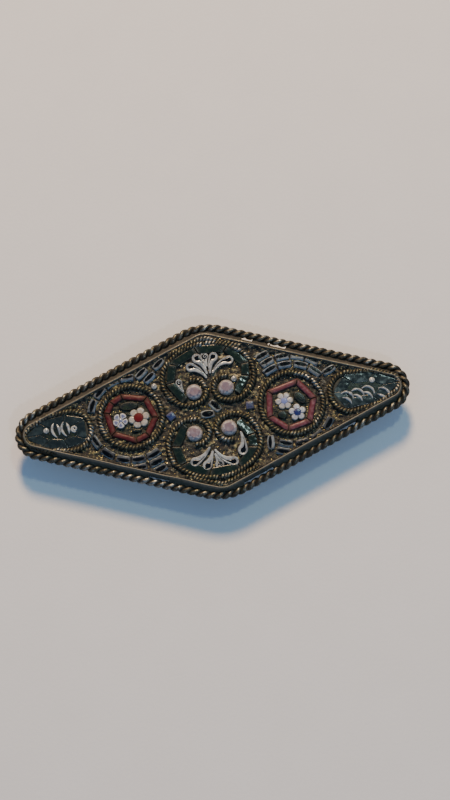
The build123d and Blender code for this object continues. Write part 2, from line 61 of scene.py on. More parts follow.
# Camera, measured about the middle of the brooch
CAMERA_ELEVATION = 76.5
CAMERA_TURN = 8.2
CAMERA_DISTANCE = 250.0
CAMERA_LENS = 74.8
AIM_RIGHT = 1.8
AIM_UP = 1.45
AIM_HEIGHT = 4.7

# Heights
PLATE_LOW = 3.4
PLATE_TOP = 4.0
CEMENT_TOP = 4.62
GLASS_LOW = 4.2
GLASS_TOP = 4.95
RIM_TOP = 5.15

# Rope border
HALF_LENGTH = 30.09
HALF_WIDTH = 13.64
TIP_RADIUS = 3.9
APEX_RADIUS = 9.0
ROPE_RADIUS = 0.65
ROPE_STRAND = 0.37
ROPE_PITCH = 2.56
ROPE_HEIGHT = 3.93

# Rim inside the rope
RIM_GAP_TIP = 1.42
RIM_GAP_APEX = 1.6
RIM_TIP_RADIUS = 1.9
RIM_APEX_RADIUS = 3.0
RIM_WALL = 0.35
TRAY_DROP = 0.15

# Twisted wires
WIRE_RADIUS = 0.5
WIRE_STRAND = 0.28
WIRE_PITCH = 1.05
WIRE_HEIGHT = 4.64
APEX_WIRE = 11.0

# Cells
STONE_X = 2.45
STONE_Y = 3.1
COLLAR_RADIUS = 1.9
HORN_RADIUS = 3.2
SHOULDER_RADIUS = 4.2
HORN_TURNS = (105, -60, -110, -230, -270)
LOWER_SHIFT = -0.45
CELL_HALF = 6.958
ROUND_RADIUS = 4.72
ROUND_CELLS = {"left": (-12.3, 0.55), "right": (11.9, -0.7)}

# Cut stones
STONE_RADIUS = 1.22
STONES = {
    ("upper", "left"): (-STONE_X, STONE_Y), ("upper", "right"): (STONE_X, STONE_Y),
    ("lower", "left"): (LOWER_SHIFT - STONE_X - 0.35, -STONE_Y - 0.15),
    ("lower", "right"): (LOWER_SHIFT + STONE_X, -STONE_Y),
}

# Pointed cells: side, length, drop, turn
END_REACH = 28.4
END_HALF = 3.0
END_TIP = 1.5
END_WAIST = 2.7
END_WAIST_PLACE = 0.8
END_CELLS = {"left": (-1, 9.9, 0.25, 0.0), "right": (1, 10.6, 0.05, 4.0)}


# Numbers that look random and are the same in each run
def waves(x, y, size, seed):
    """Smooth random relief from -1 to 1: the mean of 14 sine waves of about one length, each turned
    and shifted by its own random angle."""
    draw = np.random.default_rng(seed)
    total = np.zeros(np.broadcast(x, y).shape)
    for _ in range(14):
        turn, shift = draw.uniform(0, 2 * math.pi, 2)
        step = 2 * math.pi / size * draw.uniform(0.7, 1.4)
        total += np.sin(step * (x * math.cos(turn) + y * math.sin(turn)) + shift)
    return total / 5.3


# Plane curves, as arrays of points
OUTLINE_STEPS = 1440


def full_turn(count):
    """Evenly spaced angles of a full turn."""
    return np.linspace(0, 2 * math.pi, count, endpoint=False)


def compass(turn):
    """Directions of angles, a row each."""
    return np.stack([np.cos(turn), np.sin(turn)], 1)


def turned(x, y, degrees):
    """A point turned about the origin."""
    c, s = math.cos(math.radians(degrees)), math.sin(math.radians(degrees))
    return x * c - y * s, x * s + y * c


def looped(points, closed):
    """The points, with the first once more at the end of a closed line."""
    return np.vstack([points, points[:1]]) if closed else points


def way_along(line):
    """Length of a line from its start to each of its points."""
    return np.concatenate([[0], np.cumsum(np.linalg.norm(np.diff(line, axis=0), axis=1))])


def at_share(line, shares):
    """Points of a line at shares of its length, looked up by the length so far."""
    length = way_along(line)
    return np.stack([np.interp(shares * length[-1], length, column) for column in line.T], 1)


def even(points, count, closed):
    """The same line through evenly spaced points."""
    return at_share(looped(points, closed), np.linspace(0, 1, count, endpoint=not closed))


def line_length(points, closed):
    """Length of a line of points."""
    return way_along(looped(points, closed))[-1]


def nearest(points, others):
    """Distance of each point from the nearest of the others."""
    return np.sqrt(((points[:, None] - others[None]) ** 2).sum(2)).min(1)


def round_about(circles):
    """Outline drawn tight round circles given as (x, y, radius): for each direction, the point of the
    circle that reaches furthest that way."""
    way = compass(full_turn(OUTLINE_STEPS))
    circles = np.array(circles)
    furthest = (way @ circles[:, :2].T + circles[:, 2]).argmax(1)
    return circles[furthest, :2] + circles[furthest, 2:] * way


def rhombus(half_length, half_width, at_tip, at_apex, drop=0.0):
    """Rhombus with rounded corners."""
    return round_about([
        (half_length - at_tip, -drop, at_tip), (at_tip - half_length, -drop, at_tip),
        (0, half_width - at_apex - drop, at_apex), (0, at_apex - half_width - drop, at_apex),
    ])


def arc(centre, radius, first, last, steps=40):
    """Points of an arc between two angles in degrees."""
    return np.array(centre) + radius * compass(np.radians(np.linspace(first, last, steps)))


def horn(side, up):
    """One horn of a big cell: four arcs in a row, each centre moved back along the shared radius."""
    radii = [COLLAR_RADIUS, HORN_RADIUS, SHOULDER_RADIUS]
    centre = np.array([-STONE_X, STONE_Y])
    centres = [centre]
    for here, there, turn in zip(radii, radii[1:], HORN_TURNS[1:]):
        step = math.radians(turn)
        centre = centre - (there - here) * np.array([math.cos(step), math.sin(step)])
        centres.append(centre)
    step = math.radians(HORN_TURNS[3])
    growth = centre[0] / math.cos(step)
    centres.append(np.array([0.0, centre[1] - growth * math.sin(step)]))
    radii.append(SHOULDER_RADIUS + growth)
    spans = zip(centres, radii, HORN_TURNS, HORN_TURNS[1:])
    line = np.vstack([arc(c, r, first, last)[:-1] for c, r, first, last in spans])
    shift = LOWER_SHIFT if up < 0 else 0.0
    return line * [-side, up] + [shift, 0]


def from_end_middle(name, x, y):
    """Place in a pointed cell, given from the cell's middle towards its tip and across it."""
    side, length, drop, tilt = END_CELLS[name]
    x, y = turned(x, y, tilt)
    return side * (END_REACH - length / 2 + x), y - drop


def end_outline(name, grow=0.0):
    """Outline of a pointed cell along the middle of its wire, larger by a margin."""
    half = END_CELLS[name][1] / 2
    rows = ((half - END_TIP, END_TIP), (END_WAIST_PLACE, END_WAIST), (END_HALF - half, END_HALF))
    return round_about([(*from_end_middle(name, along, 0), radius + grow) for along, radius in rows])


rope_line = rhombus(HALF_LENGTH - ROPE_RADIUS, HALF_WIDTH - ROPE_RADIUS,
                    TIP_RADIUS - ROPE_RADIUS, APEX_RADIUS - ROPE_RADIUS)
rim_line = rhombus(HALF_LENGTH - RIM_GAP_TIP, HALF_WIDTH - RIM_GAP_APEX,
                   RIM_TIP_RADIUS, RIM_APEX_RADIUS, TRAY_DROP)
rim_inner = rhombus(HALF_LENGTH - RIM_GAP_TIP - RIM_WALL, HALF_WIDTH - RIM_GAP_APEX - RIM_WALL,
                    RIM_TIP_RADIUS - RIM_WALL, RIM_APEX_RADIUS - RIM_WALL, TRAY_DROP)


def apex_line(up):
    """Short wire inside the rim at a blunt corner."""
    inside = RIM_WALL + WIRE_RADIUS * 0.75
    line = rhombus(HALF_LENGTH - RIM_GAP_TIP - inside, HALF_WIDTH - RIM_GAP_APEX - inside,
                   RIM_TIP_RADIUS - inside, RIM_APEX_RADIUS - inside, TRAY_DROP)
    line = even(line, 2400, True)
    line = line[(abs(line[:, 0]) < APEX_WIRE / 2) & (line[:, 1] * up > 0)]
    return line[np.argsort(line[:, 0])]


wire_lines = {f"{level}_{side}_horn": (horn(x, y), False)
              for level, y in LEVELS.items() for side, x in SIDES.items()}
wire_lines |= {f"{side}_ring": (arc(ROUND_CELLS[side], ROUND_RADIUS, 0, 357, 120), True) for side in SIDES}
wire_lines |= {f"{side}_end": (end_outline(side), True) for side in SIDES}
wire_lines |= {f"{level}_apex": (apex_line(up), False) for level, up in LEVELS.items()}
WIRE_SAMPLE = 0.15
all_wires = np.vstack([even(line, int(line_length(line, closed) / WIRE_SAMPLE), closed)
                       for line, closed in wire_lines.values()])


def tray_half_width(x):
    """Half the inner width of the tray at a place along it."""
    upper = rim_inner[rim_inner[:, 1] > -TRAY_DROP]
    upper = upper[np.argsort(upper[:, 0])]
    return np.interp(x, upper[:, 0], upper[:, 1] + TRAY_DROP)


# Points that are compared with the wires at one time
BLOCK = 4000


def from_wires(x, y):
    """Distance of each point from the nearest wire, in blocks to spare memory."""
    flat = np.stack([np.ravel(x), np.ravel(y)], 1)
    blocks = np.array_split(flat, max(1, len(flat) // BLOCK))
    return np.concatenate([nearest(block, all_wires) for block in blocks]).reshape(np.shape(x))


def clear_of_metal(x, y, gap=0.46):
    """Points moved off the wires and the rim, each straight away from the nearest place of the wire."""
    flat = np.stack([np.ravel(x), np.ravel(y)], 1)
    away = flat[:, None] - all_wires[None]
    far = np.sqrt((away ** 2).sum(2))
    near = far.argmin(1)
    pick = np.arange(len(flat))
    least = np.maximum(far[pick, near], 1e-6)
    push = np.maximum(gap / least, 1)[:, None]
    flat = all_wires[near] + away[pick, near] * push
    half = tray_half_width(flat[:, 0]) - 0.06
    flat[:, 1] = np.clip(flat[:, 1] + TRAY_DROP, -half, half) - TRAY_DROP
    return flat[:, 0].reshape(np.shape(x)), flat[:, 1].reshape(np.shape(x))


# Closed shapes: points, faces and a number per point for each named field
def grid_faces(rows, columns, round_rows):
    """Squares between neighbouring rows; each row is a closed ring."""
    a, b = np.meshgrid(np.arange(rows if round_rows else rows - 1), np.arange(columns), indexing="ij")
    c, d = (a + 1) % rows, (b + 1) % columns
    return np.stack([a * columns + b, c * columns + b, c * columns + d, a * columns + d], -1).reshape(-1, 4)


def volume(points, triangles):
    """Signed volume inside a closed mesh: a sixth of the sum of its triangles' triple products."""
    a, b, c = (points[triangles[:, k]] for k in range(3))
    return (a * np.cross(b, c)).sum() / 6


def rings(grid, fields, closed=False):
    """A closed surface through rings of points. Open rows of rings end in a point in the middle of the
    first and of the last ring. Faces are turned to point outwards."""
    rows, columns = grid.shape[:2]
    points = grid.reshape(-1, 3)
    values = {name: np.broadcast_to(field, (rows, columns)).reshape(-1) for name, field in fields.items()}
    squares = grid_faces(rows, columns, closed)
    triangles = np.zeros((0, 3), int)
    if not closed:
        points = np.vstack([points, grid[0].mean(0), grid[-1].mean(0)])
        values = {name: np.concatenate([field, [field[:columns].mean(), field[-columns:].mean()]])
                  for name, field in values.items()}
        j = np.arange(columns)
        k = (j + 1) % columns
        first = np.stack([np.full(columns, rows * columns), j, k], 1)
        last = np.stack([np.full(columns, rows * columns + 1), (rows - 1) * columns + k,
                         (rows - 1) * columns + j], 1)
        triangles = np.vstack([first, last])
    halves = np.vstack([squares[:, [0, 1, 2]], squares[:, [0, 2, 3]], triangles])
    middle = points.mean(0)
    if volume(points - middle, halves) < 0:
        squares, triangles = squares[:, ::-1], triangles[:, ::-1]
    return points, squares, triangles, values


def build(name, shapes, material, nodes=()):
    """Joins closed shapes into one piece in metres, with its fields as attributes, riding on the brooch."""
    points = np.vstack([shape[0] for shape in shapes]) * MM
    starts = np.cumsum([0] + [len(shape[0]) for shape in shapes[:-1]])
    squares = np.vstack([shape[1] + start for shape, start in zip(shapes, starts)])
    triangles = np.vstack([shape[2] + start for shape, start in zip(shapes, starts)])
    mesh = bpy.data.meshes.new(name)
    mesh.vertices.add(len(points))
    mesh.vertices.foreach_set("co", points.astype(np.float32).ravel())
    corners = np.concatenate([squares.ravel(), triangles.ravel()])
    sizes = np.concatenate([np.full(len(squares), 4), np.full(len(triangles), 3)])
    mesh.loops.add(len(corners))
    mesh.loops.foreach_set("vertex_index", corners.astype(np.int32))
    mesh.polygons.add(len(sizes))
    mesh.polygons.foreach_set("loop_start", np.concatenate([[0], np.cumsum(sizes)[:-1]]).astype(np.int32))
    mesh.polygons.foreach_set("use_smooth", np.ones(len(sizes), bool))
    mesh.update(calc_edges=True)
    for field in shapes[0][3]:
        values = np.concatenate([shape[3][field] for shape in shapes]).astype(np.float32)
        mesh.attributes.new(field, "FLOAT", "POINT").data.foreach_set("value", values)
    mesh.materials.append(material)
    piece = bpy.data.objects.new(name, mesh)
    bpy.context.scene.collection.objects.link(piece)
    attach(piece, "root")
    if nodes:
        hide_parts(*nodes)
    return piece


def along_line(points, closed):
    """Directions along a line of points, from each point's neighbours."""
    if closed:
        ahead = np.roll(points, -1, 0) - np.roll(points, 1, 0)
    else:
        ahead = np.gradient(points, axis=0)
    return ahead / np.linalg.norm(ahead, axis=1, keepdims=True)


# Share of a twist's radius below which it counts as hollow
HOLLOW = 0.45


def left_of(line):
    """Directions square to an open plane line, to its left."""
    ahead = along_line(line, False)
    return np.stack([-ahead[:, 1], ahead[:, 0]], 1)


def with_foot(upper, low):
    """The same rows, closed underneath: both border columns once more, at a lower height."""
    foot = upper[:, [-1, 0]].copy()
    foot[:, :, 2] = low
    return np.concatenate([upper, foot], 1)


def twisted(line, closed, turns, spread, strand, height, sides, steps, sag=None, lumps=0.0):
    """Two strands wound round a line: each strand's middle circles the line at a spread, once per turn,
    and carries a round section that stands square to the strand, thicker and thinner by a share of lumps.
    The field relief is 1 on the outside of the strands and 0 where they meet."""
    count = int(round(turns * steps))
    flat = even(line, count, closed)
    share = np.linspace(0, 1, count, endpoint=not closed)
    axis = np.column_stack([flat, np.full(count, height) if sag is None else height + sag(flat)])
    forward = along_line(axis, closed)
    up = np.tile([0.0, 0.0, 1.0], (count, 1))
    side = np.cross(forward, up)
    shapes = []
    for start in (0, math.pi):
        turn = (2 * math.pi * turns * share + start)[:, None]
        outward = side * np.cos(turn) + up * np.sin(turn)
        middle = axis + spread * outward
        ahead = along_line(middle, closed)
        across = np.cross(ahead, outward)
        around = full_turn(sides)[None, :, None]
        taper = np.ones(count)
        if not closed:
            taper = np.clip(np.minimum(np.arange(count), np.arange(count)[::-1]) / 3 + 0.35, 0, 1)
        taper = taper * (1 + lumps * waves(middle[:, 0] + 0.2 * start, middle[:, 1], 0.9, 31))
        reach = (strand * taper)[:, None, None]
        section = np.cos(around) * outward[:, None] + np.sin(around) * across[:, None]
        grid = middle[:, None] + reach * section
        off = np.linalg.norm(grid - axis[:, None], axis=2) / (spread + strand)
        relief = np.clip((off - HOLLOW) / (1 - HOLLOW), 0, 1)
        shapes.append(rings(grid, {"relief": relief}, closed))
    return shapes


def pillow(place, half_length, half_width, top, edge, crown=0.0, seed=0, rough=0.01, steps=(22, 12),
           end=None):
    """A bar with rounded upper edges: place gives x and y for shares from -1 to 1 along and across it,
    and its height falls off in a quarter circle within an edge's width of its border, or an end's width
    of its ends."""
    u = -np.cos(np.linspace(0, math.pi, steps[0]))[:, None]
    v = -np.cos(np.linspace(0, math.pi, steps[1]))[None, :]
    along, across = np.broadcast_arrays(u, v)
    x, y = place(along, across)
    drop = 0
    for share, half, soft in ((along, half_length, end or edge), (across, half_width, edge)):
        near = np.clip((1 - abs(share)) * half, 0, soft)
        drop = drop + soft - np.sqrt(soft ** 2 - (soft - near) ** 2)
    z = top - drop - crown * across ** 2 + rough * waves(x, y, 0.9, seed)
    shares = {"along": along, "across": across}
    shares = {name: np.concatenate([share, share[:, [-1, 0]]], 1) for name, share in shares.items()}
    return with_foot(np.stack([x, y, z], -1), GLASS_LOW), shares


# Quarter turns at which the rounded edge of a dome has its rings
RISE = np.array((0.35, 0.7, 0.9, 1)) * math.pi / 2
DOME_MIDDLE = 0.12


def dome(x, y, outline, top, edge, crown=0.05):
    """A rounded disc: rings of an outline shrink towards its middle while their height rises in a
    quarter circle at the border and as a shallow dome inside."""
    reach = np.linalg.norm(outline, axis=1).mean()
    border = 1 - edge / reach * (1 - np.cos(RISE))
    inner = np.linspace(border[-1], DOME_MIDDLE, 6)[1:]
    shares = np.concatenate([[1, 1], border, inner])
    heights = np.concatenate([[GLASS_LOW, top - edge - crown], top - crown - edge * (1 - np.sin(RISE)),
                              top - crown * (inner / border[-1]) ** 2])
    grid = np.zeros((len(shares), len(outline), 3))
    grid[:, :, :2] = np.array([x, y]) + shares[:, None, None] * outline[None]
    grid[:, :, 2] = heights[:, None]
    return grid, {"ring": shares[:, None] * np.ones(len(outline))}


def ribbon(line, half_widths, top, edge, crown, steps):
    """A rounded strip of changing width carried along a line; its height falls off within an edge's
    width of the border and as a shallow arch across."""
    across = -np.cos(np.linspace(0, math.pi, steps))[None, :]
    reach = half_widths[:, None]
    near = np.clip((1 - abs(across)) * reach, 0, edge)
    drop = edge - np.sqrt(edge ** 2 - (edge - near) ** 2)
    flat = line[:, None] + left_of(line)[:, None] * (across * reach)[:, :, None]
    upper = np.concatenate([flat, (top - drop - crown * across ** 2)[:, :, None]], 2)
    shares = np.concatenate([across, [[1, -1]]], 1) * np.ones((len(line), 1))
    return with_foot(upper, GLASS_LOW), {"across": shares}


def tube(line, radii, height):
    """A round bar of changing thickness carried along a line."""
    around = full_turn(8)
    reach = radii[:, None] * np.cos(around)
    flat = line[:, None] + left_of(line)[:, None] * reach[:, :, None]
    tall = height + radii[:, None] * np.sin(around)
    return np.concatenate([flat, tall[:, :, None]], 2)


def drop_widths(line, root, head, power=1.7):
    """Half widths of a drop along a line: round at the root, growing with a power of the way, and a
    circle at the head."""
    length = way_along(line)
    body_length = length[-1] - head
    body = root + (head - root) * np.clip(length / body_length, 0, 1) ** power
    head_round = np.sqrt(np.clip(head ** 2 - (length - body_length) ** 2, 0, None))
    root_round = np.sqrt(np.clip(root ** 2 - np.clip(root - length, 0, None) ** 2, 1e-6, None))
    width = np.where(length > body_length, head_round, np.maximum(body, head_round))
    return np.where(length < root, np.minimum(width, root_round), width)


def curved(start, end, bend, steps):
    """Line from start to end that bulges to its left by a share of its length, as half a sine wave.
    Its points crowd towards both ends."""
    start, end = np.array(start, float), np.array(end, float)
    way = end - start
    left = np.array([-way[1], way[0]])
    share = (1 - np.cos(np.linspace(0, math.pi, steps)))[:, None] / 2
    return start + way * share + left * bend * np.sin(math.pi * share)


# Node trees
class Board:
    """Places nodes in a tree. An input is given as a number, a colour or another node's socket."""

    def __init__(self, tree):
        self.tree = tree

    def add(self, kind, inputs=None, **settings):
        node = self.tree.nodes.new(kind)
        for name, value in settings.items():
            setattr(node, name, value)
        for key, value in (inputs or {}).items():
            if isinstance(value, bpy.types.NodeSocket):
                self.tree.links.new(value, node.inputs[key])
            elif isinstance(value, tuple) and node.inputs[key].type == "RGBA":
                node.inputs[key].default_value = (*value, 1.0)
            else:
                node.inputs[key].default_value = value
        return node

    def place(self):
        return self.add("ShaderNodeTexCoord").outputs["Object"]

    def noise(self, size, detail=3.0, roughness=0.55, warp=0.0):
        """Cloudy noise whose features are about one size, in millimetres, across."""
        node = self.add("ShaderNodeTexNoise", {
            "Vector": self.place(), "Scale": 1 / (size * MM), "Detail": detail,
            "Roughness": roughness, "Distortion": warp,
        })
        return node.outputs["Fac"]

    def field(self, name):
        return self.add("ShaderNodeAttribute", attribute_name=name).outputs["Fac"]

    def sum(self, *terms):
        """Adds sockets, numbers and (socket, factor) pairs."""
        total = None
        for term in terms:
            if isinstance(term, tuple):
                term = self.times(*term)
            total = term if total is None else self.maths("ADD", total, term)
        return total

    def maths(self, operation, a, b=0.0, clamp=False):
        return self.add("ShaderNodeMath", {0: a, 1: b}, operation=operation, use_clamp=clamp).outputs[0]

    def times(self, a, b):
        return self.maths("MULTIPLY", a, b)

    def step(self, value, low, high):
        """0 below low, 1 above high and a smooth rise between."""
        inputs = {"Value": value, "From Min": low, "From Max": high}
        return self.add("ShaderNodeMapRange", inputs, interpolation_type="SMOOTHSTEP").outputs["Result"]

    def span(self, value, low, high):
        """Carries 0 to 1 over to low to high."""
        inputs = {"Value": value, "To Min": low, "To Max": high}
        return self.add("ShaderNodeMapRange", inputs).outputs["Result"]

    def mix(self, share, first, second):
        inputs = {"Factor": share, 6: first, 7: second}
        return self.add("ShaderNodeMix", inputs, data_type="RGBA").outputs[2]

    def bump(self, height, depth):
        """Normal from a height from 0 to 1 that stands for a depth in millimetres."""
        return self.add("ShaderNodeBump", {"Height": height, "Distance": depth * MM}).outputs[0]

    def finish(self, **inputs):
        """The surface itself; an underscore in a name stands for a space."""
        inputs = {key.replace("_", " "): value for key, value in inputs.items()}
        shader = self.add("ShaderNodeBsdfPrincipled", inputs)
        self.add("ShaderNodeOutputMaterial", {"Surface": shader.outputs[0]})


def material(name):
    """An empty material and its board."""
    made = bpy.data.materials.new(name)
    made.use_nodes = True
    made.node_tree.nodes.clear()
    return made, Board(made.node_tree)


def effect(name, inputs, outputs, make):
    """A node group: make fills its board from the input sockets and gives the output sockets. Each input
    is given with its plain value, where a tuple is a colour."""
    tree = bpy.data.node_groups.new(name, "ShaderNodeTree")
    for label, value in inputs.items():
        colour = isinstance(value, tuple)
        kind = "NodeSocketColor" if colour else "NodeSocketFloat"
        socket = tree.interface.new_socket(label, in_out="INPUT", socket_type=kind)
        socket.default_value = (*value, 1.0) if colour else value
    for label in outputs:
        kind = "NodeSocketColor" if label == "Color" else "NodeSocketFloat"
        tree.interface.new_socket(label, in_out="OUTPUT", socket_type=kind)
    entry = tree.nodes.new("NodeGroupInput")
    results = make(Board(tree), entry.outputs)
    leave = tree.nodes.new("NodeGroupOutput")
    for label, socket in results.items():
        tree.links.new(socket, leave.inputs[label])
    return tree


def patina_nodes(board, given):
    """Old brass: dark in its hollows, brown on its flanks, rubbed bright where the relief is high,
    with dull green in patches."""
    speckle = board.noise(0.32, 4)
    patches = board.noise(3.2, 3, warp=0.4)
    rise = board.sum(given["Relief"], (speckle, 1.1), (patches, 1.3), given["Rubbed"])
    rubbed = board.step(rise, 1.8, 2.6)
    hollow = board.step(board.sum(given["Relief"], (speckle, 0.5)), 0.85, 0.35)
    green = board.step(board.sum(board.noise(1.6, 4), (speckle, 0.4)), 0.74, 0.86)
    brown = board.mix(speckle, given["Dark"], given["Brown"])
    brown = board.mix(board.times(green, 0.55), brown, given["Green"])
    bright = board.mix(board.step(patches, 0.42, 0.60), given["Bright"], given["Worn"])
    colour = board.mix(rubbed, brown, bright)
    colour = board.mix(board.times(hollow, 0.85), colour, given["Dirt"])
    shiny = board.span(rubbed, given["Polish"], 1.0)
    metal = board.maths("SUBTRACT", shiny, board.times(hollow, 0.6), clamp=True)
    roughness = board.sum(board.span(rubbed, 0.42, 0.20), (hollow, 0.25), (board.noise(0.12, 2), 0.12))
    height = board.sum((speckle, 0.7), (board.noise(0.11, 3), 0.5), (board.noise(0.9, 2), 0.5))
    return {"Color": colour, "Metal": metal, "Roughness": roughness, "Height": height}


patina = effect("patina", {
    "Relief": 0.5, "Rubbed": 0.0, "Polish": 0.75, "Worn": (0.35, 0.34, 0.29), "Bright": (0.38, 0.26, 0.115),
    "Brown": (0.075, 0.050, 0.027), "Dark": (0.022, 0.016, 0.010), "Green": (0.032, 0.038, 0.021),
    "Dirt": (0.005, 0.004, 0.003),
}, ("Color", "Metal", "Roughness", "Height"), patina_nodes)


def brass(name, rubbed, depth, relief=None, **colours):
    """Aged brass of one piece."""
    made, board = material(name)
    inputs = {"Relief": relief or board.field("relief"), "Rubbed": rubbed, **colours}
    old = board.add("ShaderNodeGroup", inputs, node_tree=patina).outputs
    board.finish(Base_Color=old["Color"], Metallic=old["Metal"], Roughness=old["Roughness"],
                 Normal=board.bump(old["Height"], depth))
    return made


def flaw_nodes(board, given):
    """Old glass: cloudy streaks, fine dirt towards the edges, small pits."""
    cloud = board.noise(0.7, 3, warp=0.6)
    grain = board.noise(0.16, 3)
    streak = board.times(board.step(cloud, 0.45, 0.72), given["Streaks"])
    colour = board.mix(streak, given["Body"], given["Streak"])
    dirty = board.step(board.sum(given["Edge"], (grain, 0.9)), 1.05, 1.5)
    dirt = board.times(dirty, given["Dirt"])
    colour = board.mix(dirt, colour, (0.022, 0.016, 0.010))
    pits = board.step(board.noise(0.22, 2), 0.66, 0.74)
    colour = board.mix(board.times(pits, 0.5), colour, (0.018, 0.014, 0.010))
    roughness = board.sum((dirt, 0.5), (board.noise(0.5, 2), 0.16), (pits, 0.2), given["Matt"])
    height = board.sum((grain, 0.35), board.noise(1.1, 2), (pits, -0.5))
    return {"Color": colour, "Roughness": roughness, "Height": height}


flaws = effect("glass flaws", {
    "Body": (0.5, 0.5, 0.5), "Streak": (0.7, 0.7, 0.7), "Streaks": 0.6, "Edge": 0.0, "Dirt": 0.7, "Matt": 0.1,
}, ("Color", "Roughness", "Height"), flaw_nodes)


def edge_of(board, fields):
    """Nearness to a border, from fields that run from -1 to 1."""
    near = [board.maths("ABSOLUTE", board.field(name)) for name in fields]
    return board.maths("MAXIMUM", *near) if len(near) > 1 else near[0]


def glass(name, body, streak, streaks, dirt, matt, depth, edge=("across", "along"), shine=0.5):
    """Opaque glass of one piece. The body's colour may be worked out by a function of the board; shine is
    the specular level, half that of clean glass where it is worn."""
    made, board = material(name)
    inputs = {"Body": body(board) if callable(body) else body, "Streak": streak, "Streaks": streaks,
              "Edge": edge_of(board, edge), "Dirt": dirt, "Matt": matt}
    old = board.add("ShaderNodeGroup", inputs, node_tree=flaws).outputs
    board.finish(Base_Color=old["Color"], Roughness=old["Roughness"], Specular_IOR_Level=shine,
                 Normal=board.bump(old["Height"], depth))
    return made


# Metal: rope border, wires, tray
rope_brass = brass("rope_brass", -0.2, 0.05, Bright=(0.37, 0.335, 0.22), Brown=(0.056, 0.053, 0.038))
wire_brass = brass("wire_brass", -0.24, 0.05, Bright=(0.43, 0.40, 0.19), Brown=(0.052, 0.051, 0.032))
tray_brass = brass("tray_brass", -0.3, 0.03, Bright=(0.22, 0.20, 0.12), Worn=(0.20, 0.185, 0.13),
                   Brown=(0.115, 0.104, 0.074), Dark=(0.044, 0.040, 0.028), Polish=0.15)


def rope_border():
    """Two thick strands round the whole brooch."""
    turns = round(line_length(rope_line, True) / ROPE_PITCH)
    strands = twisted(rope_line, True, turns, ROPE_RADIUS - ROPE_STRAND, ROPE_STRAND, ROPE_HEIGHT, 14, 26)
    build("rope_border", strands, rope_brass)


# Slits between rope and rim: start and end along half the brooch, side of the long axis
SLITS = (
    (0.19, 0.24, 1), (0.32, 0.41, 1),
    (0.61, 0.71, -1), (0.10, 0.25, -1), (-0.36, -0.26, -1),
)
TRAY_STEPS = 900
ROPE_SAMPLES = 1500
# How far the plate stays away from the middle of the rope, at most places and at a slit
UNDER_ROPE = 0.36
SLIT_EDGE = ROPE_RADIUS + 0.16
SLIT_REACH = 0.03
BEVEL = 0.06
BACK_MIDDLE = 0.04
# Taken off the skirt's relief where y is above 0 and where it isn't: painted shade that darkens the north
# side, and painted light that lightens the south side
SKIRT_PAINTED_SHADE_AND_LIGHT = (0.48, -0.1)


def tray():
    """Plate, flange and rim wall in one: rings that follow the rim's outline at changing offsets and
    heights, from the middle of the back out to the rope, up over the rim and in to the middle."""
    base = even(rim_line, TRAY_STEPS, True)
    x, y = base.T
    ahead = along_line(base, True)
    out = np.stack([ahead[:, 1], -ahead[:, 0]], 1)
    gap = nearest(base, even(rope_line, ROPE_SAMPLES, True))
    reach = gap - UNDER_ROPE
    ragged = 0.25 * waves(x, y, 0.7, 5)
    for start, end, up in SLITS:
        middle, half = (start + end) / 2, (end - start) / 2
        inside = (abs(x / HALF_LENGTH - middle) / half + ragged < 1) & (y * up > 0)
        reach = np.where(inside, np.maximum(gap - SLIT_EDGE, SLIT_REACH), reach)
    sway = 0.035 * waves(x, y, 7.0, 3)
    lift = np.minimum(0.05 * waves(x, y, 3.0, 4), 0.09)
    high = np.minimum(0.26, 0.3 * reach) + sway
    higher = np.minimum(0.1, 0.2 * reach) + sway
    # Offset, height, place, relief
    rows = (
        (None, PLATE_LOW, "back", 0.4),
        (reach - BEVEL, PLATE_LOW, "skirt", 0.5), (reach, PLATE_LOW + BEVEL, "skirt", 0.3),
        (reach, PLATE_TOP - BEVEL, "skirt", 0.3), (reach - BEVEL, PLATE_TOP, "skirt", 0.5),
        (0.7 * reach, PLATE_TOP + 0.1, "skirt", 0.6), (0.45 * reach, PLATE_TOP + 0.36, "skirt", 0.65),
        (high, PLATE_TOP + 0.62, "skirt", 0.7), (higher, PLATE_TOP + 0.88, "skirt", 0.75),
        (sway, RIM_TOP - 0.12, "rim", 0.8), (sway - 0.04, RIM_TOP - 0.03, "rim", 1.15),
        (sway - 0.10, RIM_TOP, "rim", 1.15), (sway - 0.16, RIM_TOP - 0.01, "rim", 0.45),
        (sway - RIM_WALL + 0.08, RIM_TOP - 0.09, "rim", 0.35), (sway - RIM_WALL, PLATE_TOP, "rim", 0.0),
    )
    grid, relief = [], []
    for offset, height, part, worn in rows:
        ring = base * BACK_MIDDLE if part == "back" else base + out * offset[:, None]
        grid.append(np.column_stack([ring, height + (part == "rim") * lift]))
        # Painted shade on the north skirt and painted light on the south skirt, through its relief
        relief.append(worn - (part == "skirt") * np.where(y > 0, *SKIRT_PAINTED_SHADE_AND_LIGHT))
    build("tray", [rings(np.array(grid), {"relief": np.array(relief)})], tray_brass, ["setting"])


WIRE_SAG = 0.07
WIRE_LUMPS = 0.16


def wires():
    """Twisted wires round the cells, whose height sways as a sum of waves."""
    for number, (name, (line, closed)) in enumerate(wire_lines.items()):
        def sag(flat, seed=20 + number):
            return WIRE_SAG * waves(flat[:, 0], flat[:, 1], 2.2, seed)

        turns = round(line_length(line, closed) / WIRE_PITCH)
        strands = twisted(line, closed, turns, WIRE_RADIUS - WIRE_STRAND, WIRE_STRAND, WIRE_HEIGHT, 9, 16,
                          sag, WIRE_LUMPS)
        build(f"wire_{name}", strands, wire_brass)


rope_border()
tray()
wires()


